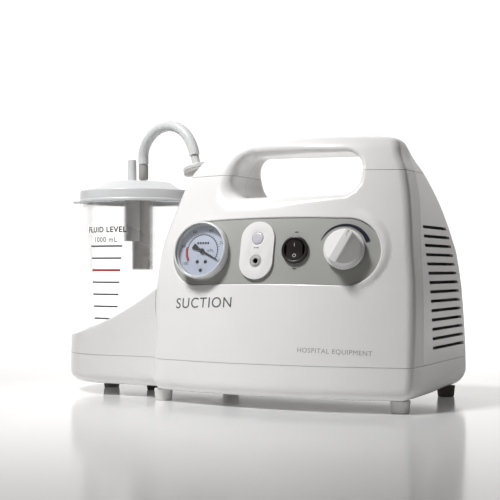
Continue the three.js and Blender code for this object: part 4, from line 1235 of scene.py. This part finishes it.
def filter_pieces():
    spin = Matrix.Rotation(-FILTER["tilt"], 4, "Y")
    place = Matrix.Translation(FILTER["base"]) @ spin
    radius, port, rise, reach = FILTER["radius"], FILTER["port"], FILTER["rise"], FILTER["reach"]
    bore, low, high = port - 1.5, rise - FILTER["thick"] / 2, rise + FILTER["thick"] / 2
    lower = turned([
        (bore, 0.3), (port, 0.3, 0.3), (port, low - 2, 1), (radius - 3, low, 1), (radius, low, 0.8),
        (radius, rise - 0.4, 0.3), (radius - 2, rise - 0.4), (radius - 3, low + 1.5), (bore, low),
    ], 80)
    fitting("filter_lower_half", lower, place, FILTER_GREY, replaces=["filter_lower"])
    upper = turned([
        (bore, reach - 0.3), (port, reach - 0.3, 0.3), (port, high + 2, 1), (radius - 3, high, 1),
        (radius, high, 0.8), (radius, rise - 0.1, 0.3), (radius - 2, rise - 0.1), (radius - 3, high - 1.5),
        (bore, high),
    ], 80)
    fitting("filter_upper_half", upper, place, FILTER_WHITE, replaces=["filter_upper"])


def feet_pieces():
    # The feet are one rubber painted in three tones by how lit each one is: the front feet pale as painted
    # light, the jar's outer foot mid grey as painted half shade, and the rear feet and the jar's inner foot
    # dark as painted shade.
    looks = {"foot_front_left": PALE_RUBBER, "foot_front_right": PALE_RUBBER, "foot_jar_outer": HALF_SHADED_RUBBER}
    foot = turned([
        (0, 0.4), (4.8, 0.4), (5.4, 0, 0.3), (7.2, 0, 0.8), (7.6, 1.4, 0.8), (8.4, FOOT_TOP), (0, FOOT_TOP),
    ], 56)
    for name, (x, y) in FEET.items():
        fitting(name + "_pad", foot, Matrix.Translation((x, y, 0)), looks.get(name, DARK_RUBBER),
                replaces=[name])


# ---- Stage ---------------------------------------------------------------------------------------------
BEHIND = (-0.43, 0.9)  # way across the floor from the camera to the far side


def floor_material():
    """Pale glossy floor that turns to plain white well behind the object."""
    made = bpy.data.materials.new("studio_floor")
    made.use_nodes = True
    tree, links = made.node_tree, made.node_tree.links
    shader = tree.nodes["Principled BSDF"]
    shader.inputs["Base Color"].default_value = (0.9, 0.9, 0.9, 1)
    shader.inputs["Roughness"].default_value = 0.14
    shader.inputs["Specular IOR Level"].default_value = 0.45
    place = add_node(tree, "ShaderNodeTexCoord")
    distance = add_node(tree, "ShaderNodeVectorMath")
    distance.operation = "DOT_PRODUCT"
    distance.inputs[1].default_value = (*BEHIND, 0)
    links.new(place.outputs["Object"], distance.inputs[0])
    glow = add_node(tree, "ShaderNodeMapRange", From_Min=0.15, From_Max=0.9, To_Min=0.03, To_Max=0.6)
    links.new(distance.outputs["Value"], glow.inputs["Value"])
    shader.inputs["Emission Color"].default_value = (1, 1, 1, 1)
    links.new(glow.outputs["Result"], shader.inputs["Emission Strength"])
    return made


def make_stage():
    half = 90
    mesh = bpy.data.meshes.new("floor")
    corners = [(-half, -half, 0), (half, -half, 0), (half, half, 0), (-half, half, 0)]
    mesh.from_pydata(corners, [], [(0, 1, 2, 3)])
    mesh.materials.append(floor_material())
    added("floor", mesh)


def area_light(name, at, towards, size, watts, spread=180):
    data = bpy.data.lights.new(name, "AREA")
    data.energy = watts
    data.spread = math.radians(spread)
    data.shape = "RECTANGLE"
    data.size, data.size_y = size
    light = added(name, data)
    light.location = at
    light.rotation_euler = (Vector(towards) - Vector(at)).to_track_quat("-Z", "Y").to_euler()


def make_lights():
    middle = Vector((0, 0, 0.11))
    key = Vector((-0.24, -0.52, 0.82)).normalized()
    area_light("key_light", middle + key * 1.2, middle, (0.26, 0.26), 1.25, 50)
    area_light("rear_light", (0.75, 1.5, 0.75), middle, (0.9, 0.9), 1.5)


def make_world():
    """Studio surroundings: a white wall behind the object, soft light overhead and left, dim elsewhere."""
    world = bpy.data.worlds.new("studio")
    bpy.context.scene.world = world
    world.use_nodes = True
    tree, links = world.node_tree, world.node_tree.links
    back = tree.nodes["Background"]
    place = add_node(tree, "ShaderNodeTexCoord")

    def toward(way, low, high, inner, outer):
        """Brightness that falls from high to low between two angles off a way."""
        dot = add_node(tree, "ShaderNodeVectorMath")
        dot.operation = "DOT_PRODUCT"
        dot.inputs[1].default_value = Vector(way).normalized()
        links.new(place.outputs["Generated"], dot.inputs[0])
        spread = add_node(tree, "ShaderNodeMapRange", From_Min=math.cos(math.radians(outer)),
                          From_Max=math.cos(math.radians(inner)), To_Min=low, To_Max=high)
        spread.interpolation_type = "SMOOTHSTEP"
        links.new(dot.outputs["Value"], spread.inputs["Value"])
        return spread.outputs["Result"]

    total = add_node(tree, "ShaderNodeMath")
    total.operation = "ADD"
    links.new(toward((*BEHIND, 0.1), 0, 1.15, 24, 60), total.inputs[0])
    links.new(toward((-0.6, -0.3, 0.75), 0.03, 0.1, 20, 110), total.inputs[1])
    links.new(total.outputs["Value"], back.inputs["Strength"])
    back.inputs["Color"].default_value = (1, 0.975, 0.955, 1)


make_camera()
hose_piece()
dress_nodes()
housing_pieces()
tray_piece()
holder_piece()
panel_piece()
front_print("front_label_print", "SUCTION", 13, -64, 88, GREY_INK)
front_print("front_note_print", "HOSPITAL EQUIPMENT", 5.6, 62, 48, PALE_INK)
gauge_pieces()
indicator_pieces()
switch_pieces()
knob_pieces()
jar_pieces()
lid_pieces()
lid_tubes()
filter_pieces()
feet_pieces()
make_stage()
make_lights()
make_world()
bpy.context.scene.view_settings.view_transform = "Standard"
